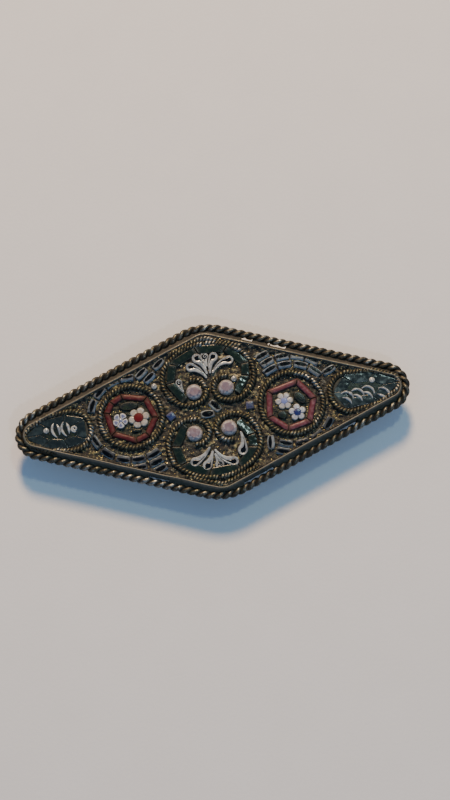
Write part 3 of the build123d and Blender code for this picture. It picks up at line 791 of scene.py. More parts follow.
# Cement
def cement_material():
    """Grainy cement: ochre and brown grains, dark pits, gilt flecks, cream where the field cream is high,
    black-green where the field dark is high: inside the round cells, and as painted shadow round the
    cut stones and the middle tesserae."""
    made, board = material("cement")
    grain = board.noise(0.5, 4, 0.62)
    patch = board.noise(1.7, 4, warp=0.6)
    light = board.mix(board.step(board.noise(3.4, 3), 0.42, 0.60), (0.22, 0.19, 0.080), (0.13, 0.125, 0.10))
    colour = board.mix(board.step(grain, 0.44, 0.64), (0.005, 0.0045, 0.003), light)
    colour = board.mix(board.times(board.step(patch, 0.43, 0.58), 0.9), colour, (0.022, 0.022, 0.014))
    cream = board.times(board.field("cream"), board.step(grain, 0.3, 0.6))
    colour = board.mix(cream, colour, (0.40, 0.33, 0.18))
    low = board.step(board.sum(board.field("height"), (grain, 0.8)), 1.04, 0.70)
    colour = board.mix(low, colour, (0.004, 0.0035, 0.0025))
    # Black-green where the field dark is high: inside the round cells, and painted shadow round the cut
    # stones and the middle tesserae
    colour = board.mix(board.times(board.field("dark"), 0.9), colour, (0.006, 0.009, 0.004))
    fleck = board.step(board.noise(0.2, 2), 0.64, 0.69)
    colour = board.mix(board.times(fleck, 0.6), colour, (0.62, 0.52, 0.22))
    bumps = board.sum(grain, (board.noise(0.1, 2), 0.4))
    board.finish(Base_Color=colour, Metallic=board.times(fleck, 0.9), Roughness=board.span(fleck, 0.82, 0.3),
                 Normal=board.bump(bumps, 0.09))
    return made


# Cream cement: x, y, reach
CREAM_SPOTS = (
    (4.6, 4.9, 0.8), (2.7, 8.3, 0.6), (-3.6, 7.7, 0.7),
    (-5.0, -7.0, 0.6), (-5.2, -5.4, 0.5), (13.9, -2.7, 0.5),
)
# Painted shadow in the cement round the middle tesserae: x, y, reach
CENTRE_SHADOWS = ((0.3, 0.5, 1.3), (-0.9, -0.6, 1.1))
DARK_CELLS = [(x, y, 3.1) for x, y in ROUND_CELLS.values()]
# Painted shadow in the cement round the cut stones: x, y, reach
STONE_SHADOWS = [(x, y, STONE_RADIUS) for x, y in STONES.values()]
CEMENT_COLUMNS = 470
CEMENT_ROWS = 190
CEMENT_RELIEF = 0.11
FILLET_RISE = 0.12
BANK_WIDTH = 0.9
BANK_RISE = 0.40


def spots(x, y, places, middle, fall):
    """Sum of round spots, each from its middle value down by a fall per reach and cut to 0 to 1."""
    return sum(np.clip(middle - fall * np.hypot(x - cx, y - cy) / reach, 0, 1) for cx, cy, reach in places)


def cement():
    """Cement bed of the whole tray: columns from side to side whose height is a sum of waves of four
    sizes, raised where it meets the wires and as a bank along the rim."""
    half = HALF_LENGTH - RIM_GAP_TIP - RIM_WALL
    x = (half - 0.02) * np.linspace(-1, 1, CEMENT_COLUMNS)[:, None]
    share = np.linspace(-1, 1, CEMENT_ROWS)[None, :]
    width = tray_half_width(x)
    y = share * width - TRAY_DROP
    x = x + 0 * y
    lumps = (0.5 * waves(x, y, 2.2, 11) + 1.1 * waves(x, y, 0.9, 12) - 0.9 * abs(waves(x, y, 0.5, 13))
             + 0.55 * waves(x, y, 0.3, 14))
    fillet = np.clip(1 - (from_wires(x, y) - 0.3) / 0.35, 0, 1) ** 2
    bank = np.clip((abs(share) * width - width + BANK_WIDTH) / BANK_WIDTH, 0, 1) ** 2
    z = CEMENT_TOP + CEMENT_RELIEF * lumps + FILLET_RISE * fillet + BANK_RISE * bank
    z = np.minimum(z, RIM_TOP + 0.04 * waves(x, y, 0.5, 15))
    cream = spots(x, y, CREAM_SPOTS, 1.3, 1)
    # Field dark: darker inside the round cells, and painted shadow round the cut stones and the middle
    # tesserae
    dark = (spots(x, y, DARK_CELLS, 2.6, 2) + spots(x, y, STONE_SHADOWS, 4, 2.4)
            + spots(x, y, CENTRE_SHADOWS, 2.4, 1.6))
    fields = {"height": 0.5 + 0.3 * lumps, "cream": np.clip(cream, 0, 1), "dark": np.clip(dark, 0, 1)}
    fields = {name: np.pad(field, ((0, 0), (0, 2))) for name, field in fields.items()}
    grid = with_foot(np.stack([x, y, z], -1), PLATE_TOP + 0.01)
    build("cement", [rings(grid, fields)], cement_material(), ["field_bed", "cell_beds"])


cement()


# Glass rods, slabs and chips
def quad(corners):
    """Place inside four corners, given in order round the bar: both pairs of sides are shared out evenly."""
    a, b, c, d = (np.array(corner, float) for corner in corners)

    def place(along, across):
        s, t = (1 + along)[..., None] / 2, (1 + across)[..., None] / 2
        point = a * (1 - s) * (1 - t) + b * (1 - s) * t + c * s * t + d * s * (1 - t)
        return point[..., 0], point[..., 1]
    return place


def mitred(corners, width, closed, gap=0.1):
    """Four corners of each bar between neighbouring corners, cut along rays from the middle of them all."""
    corners = np.array(corners)
    middle = corners.mean(0)
    ends = list(zip(corners, np.roll(corners, -1, 0)))
    bars = []
    for a, b in ends if closed else ends[:-1]:
        along = (b - a) / np.linalg.norm(b - a)
        out = np.array([along[1], -along[0]])
        if out @ (a - middle) < 0:
            out = -out
        bar = []
        for point, step, side in ((a, 1, -1), (a, 1, 1), (b, -1, 1), (b, -1, -1)):
            ray = (point - middle) / np.linalg.norm(point - middle)
            bar.append(point + (ray * side * width / 2 + along * step * gap / 2) / (out @ ray))
        bars.append(bar)
    return bars


def beside_stones(place):
    """The same place, but moved out of the pink stones, straight away from their middles."""
    def moved(along, across):
        x, y = place(along, across)
        for cx, cy in STONES.values():
            push = np.maximum((STONE_RADIUS + 0.1) / np.maximum(np.hypot(x - cx, y - cy), 1e-3), 1)
            x, y = cx + (x - cx) * push, cy + (y - cy) * push
        return x, y
    return moved


def bars(name, corner_lists, width, material, slot, node, top, edge, crown, tint=None, leaning=()):
    """Rounded glass bars, each a little higher or lower than the next. leaning gives the number of a bar
    and its rise along x and y."""
    draw = np.random.default_rng(len(name) * 7)
    shapes = []
    for number, corners in enumerate(corner_lists):
        length = np.linalg.norm(np.array(corners[3]) - np.array(corners[0]))
        place = beside_stones(quad(corners))
        loop, shares = pillow(place, length / 2, width / 2, top + draw.uniform(-0.04, 0.03), edge, crown,
                              number + len(name), 0.02, (26, 14), 0.05)
        for leaner, rise_x, rise_y in leaning:
            if leaner == number:
                above = loop[:, :-2]
                above[:, :, 2] += rise_x * (above[:, :, 0] - above[:, :, 0].mean())
                above[:, :, 2] += rise_y * (above[:, :, 1] - above[:, :, 1].mean())
        shares["tint"] = draw.uniform(0, 1) if tint is None else tint[number]
        shapes.append(rings(loop, shares))
    build(name, shapes, material, [node])


GREEN_ROD = 1.35
GREEN_CORNERS = (
    (-0.57, 0.27), (-0.84, 0.70), (-0.74, 1.11), (-0.19, 1.365),
    (0.47, 1.335), (0.825, 0.93), (0.805, 0.66), (0.555, 0.31),
)
# Bars that catch the light: number, rise along x, rise along y
GREEN_LEANS = {"upper": ((6, -0.08, -0.03),), "lower": ((6, -0.125, -0.098), (5, -0.04, -0.02))}
RED_ROD = 0.97
# Corners of the red rods: an angle and a share of the cell's radius
RED_CORNERS = {
    "left": (
        (46, 0.745), (108, 0.75), (136, 0.785), (163, 0.795),
        (216, 0.78), (275, 0.775), (305, 0.765), (352, 0.77),
    ),
    "right": ((5, 0.715), (69, 0.73), (146, 0.80), (205, 0.84), (254, 0.84), (306, 0.80)),
}

green_glass = glass("green_glass", (0.0045, 0.0085, 0.0030), (0.013, 0.021, 0.008), 0.8, 0.45, 0.06, 0.003,
                    shine=0.32)
brick_glass = glass("brick_glass", (0.050, 0.0045, 0.005), (0.082, 0.019, 0.018), 0.8, 0.8, 0.34, 0.03,
                    shine=0.2)
mauve_glass = glass("mauve_glass", (0.080, 0.016, 0.021), (0.140, 0.056, 0.067), 0.8, 0.7, 0.30, 0.03,
                    shine=0.25)

for level, up in LEVELS.items():
    shift = LOWER_SHIFT if up < 0 else 0.0
    corners = [(shift + x * CELL_HALF, up * y * CELL_HALF) for x, y in GREEN_CORNERS]
    bars(f"green_bars_{level}", mitred(corners, GREEN_ROD, False), GREEN_ROD, green_glass, "green_glass",
         f"green_rods_{level}", GLASS_TOP, 0.12, 0.03, None, GREEN_LEANS[level])

for side, rows in RED_CORNERS.items():
    corners = [arc(ROUND_CELLS[side], share * ROUND_RADIUS, angle, angle, 1)[0] for angle, share in rows]
    red = brick_glass if side == "left" else mauve_glass
    bars(f"red_bars_{side}", mitred(corners, RED_ROD, True), RED_ROD, red, "red_glass", f"red_rods_{side}",
         GLASS_TOP, 0.28, 0.08)


# Tesserae of the field, in rows bent round the round cells: cell, gap from its wire to the middle of the
# first row, then the angles of each row
TESSERA_LENGTH = 2.15
TESSERA_WIDTH = 1.1
ROW_STEP = 1.26
FIELD_ROWS = {
    "field_upper_right": ("right", 0.9, (114, 92, 69, 47), (112, 93, 75, 57), (113,)),
    "field_lower_right": ("right", 1.05, (-107, -84, -61, -38), (-108.5, -89)),
    "field_lower_left": ("left", 1.3, (207, 230, 252, 272, 293), (272, 291), (291,)),
    "field_upper_left": ("left", 0.95, (155.5, 133.5, 111.5, 89.5)),
}
# Tesserae that lie across the rows: node, x and y as shares of half the brooch, turn
STRAYS = (
    ("field_upper_left", -0.331, 0.517, 38),
    ("field_upper_left", -0.292, 0.455, 38),
    ("field_upper_left", -0.239, 0.597, 38),
    ("field_upper_right", 0.605, 0.262, 25),
    ("field_lower_right", 0.262, -0.455, 84),
)
# Blue shares of some tesserae, by node and place in the order above
BLUE = {
    ("field_upper_right", 0): 0.75, ("field_upper_right", 1): 0.9, ("field_upper_left", 5): 0.9,
    ("field_upper_left", 3): 0.7, ("field_lower_left", 1): 0.5, ("field_lower_right", 1): 0.6,
}
# How dark the glass of each field is
DUSK = {
    "field_upper_right": 0.15, "field_lower_right": 0.95, "field_lower_left": 0.8, "field_upper_left": 0.5,
}
CORE_SINK = 0.03


def tessera_colour(board):
    """Blue-grey with a black core, a painted highlight along both long sides, and dusty at the ends."""
    tint = board.field("tint")
    grey = board.mix(tint, (0.100, 0.108, 0.104), (0.190, 0.205, 0.198))
    pale = board.mix(board.field("blue"), grey, (0.080, 0.113, 0.158))
    pale = board.mix(board.step(board.noise(0.4, 4), 0.46, 0.7), pale, (0.045, 0.046, 0.044))
    pale = board.mix(board.field("dusk"), pale, (0.016, 0.018, 0.022))
    # Painted highlight: paler glass along both long sides of each tessera
    side = board.sum(board.maths("ABSOLUTE", board.field("across")), (board.noise(0.5, 3), 0.5))
    pale = board.mix(board.step(side, 1.06, 1.24), pale, (0.23, 0.275, 0.30))
    return board.mix(board.field("core"), pale, (0.001, 0.0009, 0.0009))


tessera_glass = glass("tessera_glass", tessera_colour, (0.30, 0.31, 0.32), 0.0, 0.3, 0.14, 0.02, ("along",),
                      0.14)


def bent(middle, radius, angle):
    """Place on a bar that follows a circle: along turns about the middle, across changes the radius."""
    half = TESSERA_LENGTH / 2 / radius

    def place(along, across):
        turn = math.radians(angle) + half * along
        reach = radius + across * TESSERA_WIDTH / 2
        return middle[0] + reach * np.cos(turn), middle[1] + reach * np.sin(turn)
    return place


def straight(x, y, turn, length, width):
    """Place on a straight bar whose ends are narrower; x and y are shares of half the brooch."""
    def place(along, across):
        taper = 1 - 0.3 * abs(along) ** 3
        a, b = turned(along * length / 2, across * width / 2 * taper, turn)
        return x * HALF_LENGTH + a, y * HALF_WIDTH + b
    return place


def tessera(place, length, width, blue, draw, clear=True, thick=0.0, dusk=0.0):
    """One tessera: a rounded bar with a sunk black core, shaped as a lens between its two long sides;
    thick widens the core as a share of half the bar's width, and dusk darkens its glass."""
    def kept(along, across):
        x, y = place(along, across)
        return clear_of_metal(x, y) if clear else (x, y)

    seed = int(draw.integers(1, 9999))
    top = GLASS_TOP + draw.uniform(-0.08, 0.04)
    loop, shares = pillow(kept, length / 2, width / 2, top, 0.2, 0.05, seed, 0.015, (26, 26))
    middle, half = draw.uniform(-0.05, 0.32), draw.uniform(0.48, 0.60) + thick
    lens = half * np.sqrt(np.clip(1 - (shares["along"] / draw.uniform(0.86, 0.96)) ** 2, 1e-4, None))
    core = np.clip(5 * (1.1 - abs(shares["across"] - middle) / lens), 0, 1)
    core[:, -2:] = 0
    loop[:, :, 2] -= CORE_SINK * core
    return rings(loop, {**shares, "core": core, "blue": blue, "dusk": dusk, "tint": draw.uniform(0, 1)})


def field(name):
    """All tesserae of one field."""
    draw = np.random.default_rng(sum(map(ord, name)))
    side, first_row, *rows = FIELD_ROWS[name]
    size = TESSERA_LENGTH, TESSERA_WIDTH
    shapes = []
    for number, angles in enumerate(rows):
        radius = ROUND_RADIUS + WIRE_RADIUS + first_row + number * ROW_STEP
        for angle in angles:
            blue = BLUE.get((name, len(shapes)), draw.uniform(0, 0.45))
            dusk = DUSK[name] * draw.uniform(0.6, 1.0)
            shapes.append(tessera(bent(ROUND_CELLS[side], radius, angle), *size, blue, draw, dusk=dusk))
    for node, x, y, turn in STRAYS:
        if node == name:
            blue = BLUE.get((name, len(shapes)), draw.uniform(0, 0.3))
            shapes.append(tessera(straight(x, y, turn, *size), *size, blue, draw))
    build(f"tesserae_{name[6:]}", shapes, tessera_glass, [name])


for name in FIELD_ROWS:
    field(name)


# Leaves of the palmettes, in millimetres: root, head, head radius, bend to the left as a share of the length,
# share of the way where the eye starts, eye radius, side that the eye's tail keeps to
UPPER_LEAVES = (
    ((-0.40, 5.05), (-2.55, 6.72), 0.76, -0.12, 0.35, 0.36, -1),
    ((-0.22, 5.70), (-1.50, 8.00), 0.80, -0.10, 0.45, 0.42, -1),
    ((0.42, 5.75), (1.35, 7.95), 0.74, 0.10, 0.45, 0.40, 1),
    ((0.85, 5.65), (3.50, 6.95), 0.72, 0.16, 0.12, 0.40, 1),
)
LOWER_LEAVES = (
    ((-1.40, -5.75), (-3.85, -7.40), 0.74, 0.10, 0.40, 0.38, 1),
    ((-1.00, -6.40), (-2.10, -8.25), 0.76, 0.06, 0.45, 0.44, 1),
    ((-0.45, -6.20), (2.05, -7.95), 0.80, -0.14, 0.35, 0.42, -1),
    ((3.60, -4.10), (3.33, -6.70), 0.80, 0.10, 0.30, 0.44, 1),
)
LEAF_ROOT = 0.2
EYE_SINK = 0.08
# Small coiled leaves: middle, radius, where the coil ends, end of the stalk
COILS = {"upper": (((-0.08, 8.30), 0.66, 420, (0.05, 6.9)), ((-4.42, 4.80), 0.56, 420, (-4.05, 3.4))),
         "lower": (((-0.30, -8.45), 0.70, -420, (-0.65, -6.9)),)}


def white_glass_colour(board):
    """Milky white with grey and blue clouds."""
    cloud = board.step(board.noise(0.9, 3, warp=0.5), 0.4, 0.66)
    blue = board.step(board.noise(2.1, 2), 0.5, 0.7)
    base = board.mix(cloud, (0.265, 0.27, 0.25), (0.115, 0.122, 0.12))
    return board.mix(board.times(blue, 0.5), base, (0.14, 0.17, 0.20))


white_glass = glass("white_glass", white_glass_colour, (0.36, 0.36, 0.33), 0.35, 0.75, 0.1, 0.025,
                    ("across",))
black_glass = glass("black_glass", (0.002, 0.002, 0.002), (0.008, 0.008, 0.009), 0.5, 0.3, 0.04, 0.012,
                    ("across",), 0.2)
LEAF_STEPS = 44
COIL_STEPS = 34


def leaf(root, head, radius, bend, start, eye, side):
    """A curved drop of white glass, sunk along its eye, and the black eye that lies in it."""
    root, head = np.array(root), np.array(head)
    way = (head - root) / np.linalg.norm(head - root)
    line = curved(root - way * LEAF_ROOT, head + way * radius, bend, LEAF_STEPS)
    widths = drop_widths(line, LEAF_ROOT, radius)
    loop, shares = ribbon(line, np.maximum(widths, 0.015), GLASS_TOP + 0.02, 0.1, 0.04, 20)
    last = 1 - (radius - eye) * 0.9 / line_length(line, False)
    places = start + (last - start) * (1 - np.cos(np.linspace(0, math.pi, 30))) / 2
    middle = at_share(line, places)
    lean = np.clip((last - places) / (last - start), 0, 1)
    shift = side * 0.5 * lean * np.interp(places, np.linspace(0, 1, LEAF_STEPS), widths)
    middle = middle + left_of(middle) * shift[:, None]
    eye_widths = np.maximum(drop_widths(middle, 0.05, eye, 3.0), 0.012)
    near = np.sqrt(((loop[:, :, None, :2] - middle) ** 2).sum(3)) - eye_widths
    sunk = np.clip(1 - near.min(2) / 0.06, 0, 1)
    sunk[:, -2:] = 0
    loop[:, :, 2] -= EYE_SINK * sunk
    return rings(loop, shares), rings(*ribbon(middle, eye_widths, GLASS_TOP - 0.02, 0.08, 0.03, 12))


def coil(middle, radius, turned_by, stalk):
    """A short leaf with a round eye, and a white coil in the eye whose radius shrinks as it turns."""
    reach = np.linspace(radius * 0.5, radius * 0.1, COIL_STEPS)[:, None]
    line = np.array(middle) + reach * compass(np.radians(np.linspace(0, turned_by, COIL_STEPS)))
    radii = 0.06 * np.sqrt(np.sin(np.linspace(0.15, math.pi - 0.15, COIL_STEPS)))
    white, eye = leaf(stalk, middle, radius, 0.06, 0.4, radius * 0.66, 0)
    return white, eye, rings(tube(line, radii, GLASS_TOP), {"across": 0.0})


leaf_sets = {
    level: [leaf(*row) for row in rows] + [coil(*row) for row in COILS[level]]
    for level, rows in (("upper", UPPER_LEAVES), ("lower", LOWER_LEAVES))
}
for level, pairs in leaf_sets.items():
    whites = [shape for white, eye, *more in pairs for shape in (white, *more)]
    build(f"leaves_{level}", whites, white_glass, [f"palmette_{level}"])
build("leaf_eye_glass", [pair[1] for pairs in leaf_sets.values() for pair in pairs], black_glass,
      ["leaf_eyes"])


# Flowers
PETAL_GAP = 0.07
CREASE_WIDTH = 0.16
CREASE_SINK = 0.09


def petal(reach, inner, count):
    """Outline of one petal that points along x: an oval, narrowed to its share of the circle."""
    turn = full_turn(28)
    middle, half = (reach + inner) / 2, (reach - inner) / 2
    along = middle + half * np.cos(turn)
    room = along * math.tan(math.pi / count) - PETAL_GAP / 2
    across = np.sign(np.sin(turn)) * np.minimum(half * 1.15 * abs(np.sin(turn)), np.maximum(room, 0.02))
    return along, across


def scallops(reach, count, turn):
    """Outline of a ring of round lobes: for each direction, where it leaves the lobe that it points at,
    and how near it is to the crease between two lobes."""
    angles = full_turn(120)
    span = 2 * math.pi / count
    off = (angles - math.radians(turn) + span / 2) % span - span / 2
    middle, lobe = 0.62 * reach, 0.40 * reach
    out = middle * np.cos(off) + np.sqrt(np.clip(lobe ** 2 - (middle * np.sin(off)) ** 2, 0, None))
    crease = np.clip(1 - (span / 2 - abs(off)) / CREASE_WIDTH, 0, 1)
    return out[:, None] * compass(angles), crease


def cell_place(side, x, y):
    """Place given in shares of a round cell's radius from its middle."""
    return ROUND_CELLS[side][0] + x * ROUND_RADIUS, ROUND_CELLS[side][1] + y * ROUND_RADIUS


def flower(name, side, x, y, reach, count, turn, inner, core, palette):
    """A flower: separate petals round a middle where an inner radius is given, else one scalloped piece."""
    cx, cy = cell_place(side, x, y)
    draw = np.random.default_rng(count + len(name))
    shapes = []
    if not inner:
        outline, crease = scallops(reach * ROUND_RADIUS, count, turn)
        grid, shares = dome(cx, cy, outline, GLASS_TOP, 0.2, 0.06)
        crease = crease * ((shares["ring"] > 0.35) & (grid[:, :, 2] > GLASS_LOW + 0.1))
        grid[:, :, 2] -= CREASE_SINK * crease
        tint = 0.5 + 0.4 * waves(grid[:, :, 0], grid[:, :, 1], 1.6, 8)
        shapes.append(rings(grid, {**shares, "tint": tint, "core": 0, "crease": crease}))
    for k in range(count if inner else 0):
        along, across = petal(reach * ROUND_RADIUS * draw.uniform(0.94, 1.04), inner, count)
        way = turn + 360 * k / count + draw.uniform(-5, 5)
        mid = along.mean()
        px, py = turned(mid, 0, way)
        outline = np.stack(turned(along - mid, across, way), 1)
        grid, shares = dome(cx + px, cy + py, outline, GLASS_TOP + draw.uniform(-0.03, 0.03), 0.12, 0.03)
        shapes.append(rings(grid, {**shares, "tint": draw.uniform(0, 1), "core": 0, "crease": 0}))
    if core:
        grid, shares = dome(cx, cy, core * compass(full_turn(20)), GLASS_TOP + 0.05, 0.1, 0.06)
        shapes.append(rings(grid, {**shares, "tint": 0.5, "core": 1, "crease": 0}))
    build(f"{name}_petals", shapes, palette, [name])


def petal_colours(body, other, edge, core, edge_from):
    """Colour of a petal: two tints, a pale edge that starts at a share of its radius, and the core's own."""
    def colour(board):
        inside = board.mix(board.sum((board.field("tint"), 0.5), (board.noise(0.7, 3), 0.5)), body, other)
        outer = board.sum(board.field("ring"), (board.noise(0.4, 2), 0.3))
        ringed = board.mix(board.step(outer, edge_from + 0.15, edge_from + 0.27), inside, edge)
        ringed = board.mix(board.times(board.field("crease"), 0.75), ringed, (0.035, 0.030, 0.022))
        return board.mix(board.field("core"), ringed, core)
    return colour


# Flowers: node, cell, x, y and reach as shares of the cell, petals, turn, inner radius, core radius
FLOWERS = (
    ("white_flower_left", "left", 0.235, -0.050, 0.340, 6, 10, 0.0, 0.0),
    ("blue_flower_left", "left", -0.355, -0.060, 0.250, 5, 54, 0.22, 0.36),
    ("lavender_flower_right", "right", -0.233, 0.106, 0.290, 6, 0, 0.0, 0.58),
    ("white_flower_right", "right", 0.127, -0.318, 0.280, 5, 90, 0.0, 0.0),
)
# Petals by node: colours of body, clouds, edge and core, start of the edge, slot, share of streaks
PETALS = {
    "white_flower_left": (
        ((0.34, 0.31, 0.25), (0.20, 0.13, 0.085), (0.38, 0.37, 0.32), (0.3, 0.3, 0.3), 0.7),
        "white_glass", 0.3,
    ),
    "blue_flower_left": (
        ((0.080, 0.095, 0.165), (0.12, 0.12, 0.19), (0.38, 0.38, 0.37), (0.13, 0.14, 0.20), 0.5),
        "pale_blue_glass", 0.15,
    ),
    "lavender_flower_right": (
        ((0.30, 0.28, 0.25), (0.19, 0.19, 0.26), (0.36, 0.34, 0.29), (0.13, 0.15, 0.30), 0.6),
        "lavender_glass", 0.15,
    ),
    "white_flower_right": (
        ((0.30, 0.32, 0.36), (0.23, 0.24, 0.27), (0.42, 0.42, 0.40), (0.3, 0.3, 0.3), 0.7),
        "white_glass", 0.3,
    ),
}
for name, side, x, y, reach, count, turn, inner, core in FLOWERS:
    colours, slot, streaks = PETALS[name]
    palette = glass(f"{name}_glass", petal_colours(*colours), (0.40, 0.39, 0.36), streaks, 0.7, 0.12, 0.02,
                    ("ring",))
    flower(name, side, x, y, reach, count, turn, inner, core, palette)


def disc(x, y, radius_x, radius_y, turn, top, edge, crown):
    """An oval dome."""
    oval = compass(full_turn(36)) * [radius_x, radius_y]
    return rings(*dome(x, y, np.stack(turned(*oval.T, turn), 1), top, edge, crown))


def polygon_outline(radius, sides, turn, corner=0.12):
    """Outline of a polygon with rounded corners: tight round small circles at its corners."""
    circles = [(*turned(radius - corner, 0, turn + 360 * k / sides), corner) for k in range(sides)]
    return even(round_about(circles), 40, True)


red_glass = glass("red_disc_glass", (0.075, 0.001, 0.001), (0.11, 0.004, 0.003), 0.5, 0.5, 0.25, 0.02,
                  ("ring",), 0.2)
navy_glass = glass("navy_glass", (0.004, 0.005, 0.060), (0.010, 0.014, 0.10), 0.5, 0.4, 0.2, 0.015, ("ring",))
lens_glass = glass("lens_glass", (0.0022, 0.0045, 0.002), (0.010, 0.017, 0.004), 0.9, 0.4, 0.2, 0.03,
                   ("ring",), 0.3)

build("red_disc", [disc(*cell_place("left", 0.225, -0.045), 0.76, 0.74, 0, GLASS_TOP + 0.1, 0.12, 0.03)],
      red_glass, ["red_flower_disc"])
core = dome(*cell_place("right", 0.127, -0.318), polygon_outline(0.66, 5, 90), GLASS_TOP + 0.07, 0.1)
build("navy_core", [rings(*core)], navy_glass, ["blue_flower_core"])

# Green lenses: cell, x, y, length, width as shares of the cell's radius, turn
GREEN_LENSES = (
    ("left", -0.045, 0.380, 0.61, 0.28, 0),
    ("left", 0.106, -0.455, 0.34, 0.11, 0),
    ("right", 0.275, 0.148, 0.49, 0.29, -50),
    ("right", -0.355, -0.330, 0.33, 0.26, -30),
)
build("green_lenses", [
    disc(*cell_place(side, x, y), length * ROUND_RADIUS / 2, width * ROUND_RADIUS / 2, turn, GLASS_TOP,
         0.15, 0.03)
    for side, x, y, length, width, turn in GREEN_LENSES
], lens_glass, ["green_chips"])

# Pointed cells
SLAB_WIDTH = 1.5
SLAB_CORNERS = {
    "left": (
        (0.40, 0.0), (0.20, 0.46), (-0.10, 0.62), (-0.34, 0.40),
        (-0.34, -0.40), (-0.10, -0.62), (0.20, -0.46),
    ),
    "right": (
        (0.41, 0.0), (0.14, 0.56), (-0.22, 0.66),
        (-0.37, 0.10), (-0.28, -0.56), (0.12, -0.58),
    ),
}
# Curls: share of the cell's length from its middle, share of half its height, form
CURLS = {
    "left": ((0.035, 0.117, "lens"), (-0.111, 0.117, "lens"), (-0.247, 0.083, "ring")),
    "right": (
        (-0.277, -0.270, "pair"), (-0.120, -0.240, "pair"),
        (0.032, -0.210, "pair"), (0.249, -0.430, "wing"),
    ),
}
# Arcs of each form: start, a point on the way, end
CURL_FORMS = {
    "pair": (((-0.85, 0.65), (0.10, 0.85), (0.90, -0.40)), ((-0.70, 0.05), (0.00, -0.15), (0.55, -1.05))),
    "lens": (((-0.15, 1.20), (-0.52, 0.30), (0.12, -1.05)), ((0.25, 1.00), (0.52, 0.10), (0.50, -0.75))),
    "wing": (((-0.70, 0.85), (0.40, 0.55), (0.80, -0.75)), ((-1.00, 0.00), (-0.20, -0.45), (0.45, -0.95))),
}
DOTS = {"left": (0.177, 0.18), "right": (0.13, 0.36)}
# How blue each slab is
SLAB_TINTS = {"left": (0.3, 0.5, 0.2, 0.5, 0.2, 0.4, 0.3), "right": (0.8, 1.9, 0.9, 1.5, 0.6, 0.4)}
RING_RADIUS = 0.42
RING_TURN = 300
CURL_WIRE = 0.22
RING_WIRE = 0.16
BEAD_RADIUS = 0.45
POOL_INSET = 0.42
POOL_DROP = 0.13


def in_end_cell(name, along, across):
    """Place in a pointed cell: share of its length towards its tip, share of half its height."""
    return from_end_middle(name, along * END_CELLS[name][1], across * END_HALF)


def teal_colour(board):
    """Nearly black teal with a bluish bloom on some slabs."""
    bloom = board.times(board.step(board.noise(1.3, 3), 0.45, 0.7), board.field("tint"))
    return board.mix(bloom, (0.0065, 0.0095, 0.0075), (0.046, 0.068, 0.070))


teal_glass = glass("teal_glass", teal_colour, (0.016, 0.024, 0.021), 0.6, 0.0, 0.10, 0.006, shine=0.35)


def through(points):
    """Arc through three points: its middle is as far from the first point as from the other two."""
    a, b, c = np.array(points)
    middle = np.linalg.solve(2 * np.array([b - a, c - a]), [b @ b - a @ a, c @ c - a @ a])
    ends = [math.degrees(math.atan2(*(point - middle)[::-1])) for point in (a, b, c)]
    way = (ends[1] - ends[0] + 180) % 360 - 180
    sweep = (ends[2] - ends[0]) % 360 - (0 if way > 0 else 360)
    return arc(middle, np.linalg.norm(a - middle), ends[0], ends[0] + sweep, 26)


def curl_lines(form):
    """Middle lines of a white curl: two arcs, or a spiral whose radius grows evenly."""
    if form == "ring":
        outward = np.linspace(0.3, 1.15, 60)[:, None]
        return [arc((0, 0), RING_RADIUS, RING_TURN - 560, RING_TURN, 60) * outward]
    return [through(points) for points in CURL_FORMS[form]]


def pool(name):
    """Dark glass that fills a pointed cell below its slabs."""
    outline = even(end_outline(name, -POOL_INSET), 140, True)
    middle = outline.mean(0)
    return rings(*dome(*middle, outline - middle, GLASS_TOP - POOL_DROP, 0.1, 0.02))


for name, rows in CURLS.items():
    corners = [in_end_cell(name, *row) for row in SLAB_CORNERS[name]]
    bars(f"slabs_{name}", mitred(corners, SLAB_WIDTH, True), SLAB_WIDTH, teal_glass, "teal_glass",
         f"end_slabs_{name}", GLASS_TOP - 0.06, 0.07, 0.015, SLAB_TINTS[name])
    build(f"slab_ground_{name}", [pool(name)], lens_glass)
    whites = []
    for along, across, form in rows:
        for line in curl_lines(form):
            line = np.array(in_end_cell(name, along, across)) + line
            ends = np.minimum(np.arange(len(line)), np.arange(len(line))[::-1])
            lumps = 1 + 0.15 * waves(line[:, 0], line[:, 1], 0.8, 6)
            radii = (RING_WIRE if form == "ring" else CURL_WIRE) * np.clip(0.3 + ends / 11, 0, 1) * lumps
            whites.append(rings(tube(line, radii, GLASS_TOP - 0.1), {"across": 0.0}))
    build(f"curls_{name}", whites, white_glass, [f"end_curls_{name}"])

bead_glass = glass("bead_glass", white_glass_colour, (0.40, 0.37, 0.28), 0.5, 0.1, 0.1, 0.02, ("ring",))
beads = [disc(*in_end_cell(name, *row), BEAD_RADIUS, BEAD_RADIUS * 0.95, 0, GLASS_TOP + 0.06, 0.12, 0.08)
         for name, row in DOTS.items()]
build("end_beads", beads, bead_glass, ["end_dots"])

# Odd pieces between the cells: x, y as shares of half the brooch, turn
CENTRE_ROWS = ((0.012, 0.038, -50), (-0.030, -0.041, 0))
CENTRE_LENGTH = 2.1
CENTRE_WIDTH = 1.2
CHIP_SIZE = 1.2
BLUE_ROWS = ((-0.212, -0.010, 30), (0.185, -0.008, 0))
BEAD_ROWS = ((-0.276, 0.352), (0.1265, 0.313))

draw = np.random.default_rng(3)
size = CENTRE_LENGTH, CENTRE_WIDTH
middles = [tessera(straight(*row, *size), *size, 0.0, draw, False, 0.22) for row in CENTRE_ROWS]
build("middle_tesserae", middles, tessera_glass, ["centre_tesserae"])


def cobalt_colour(board):
    """Cobalt on one chip, dull violet on the other."""
    return board.mix(board.field("tint"), (0.010, 0.016, 0.066), (0.022, 0.022, 0.048))


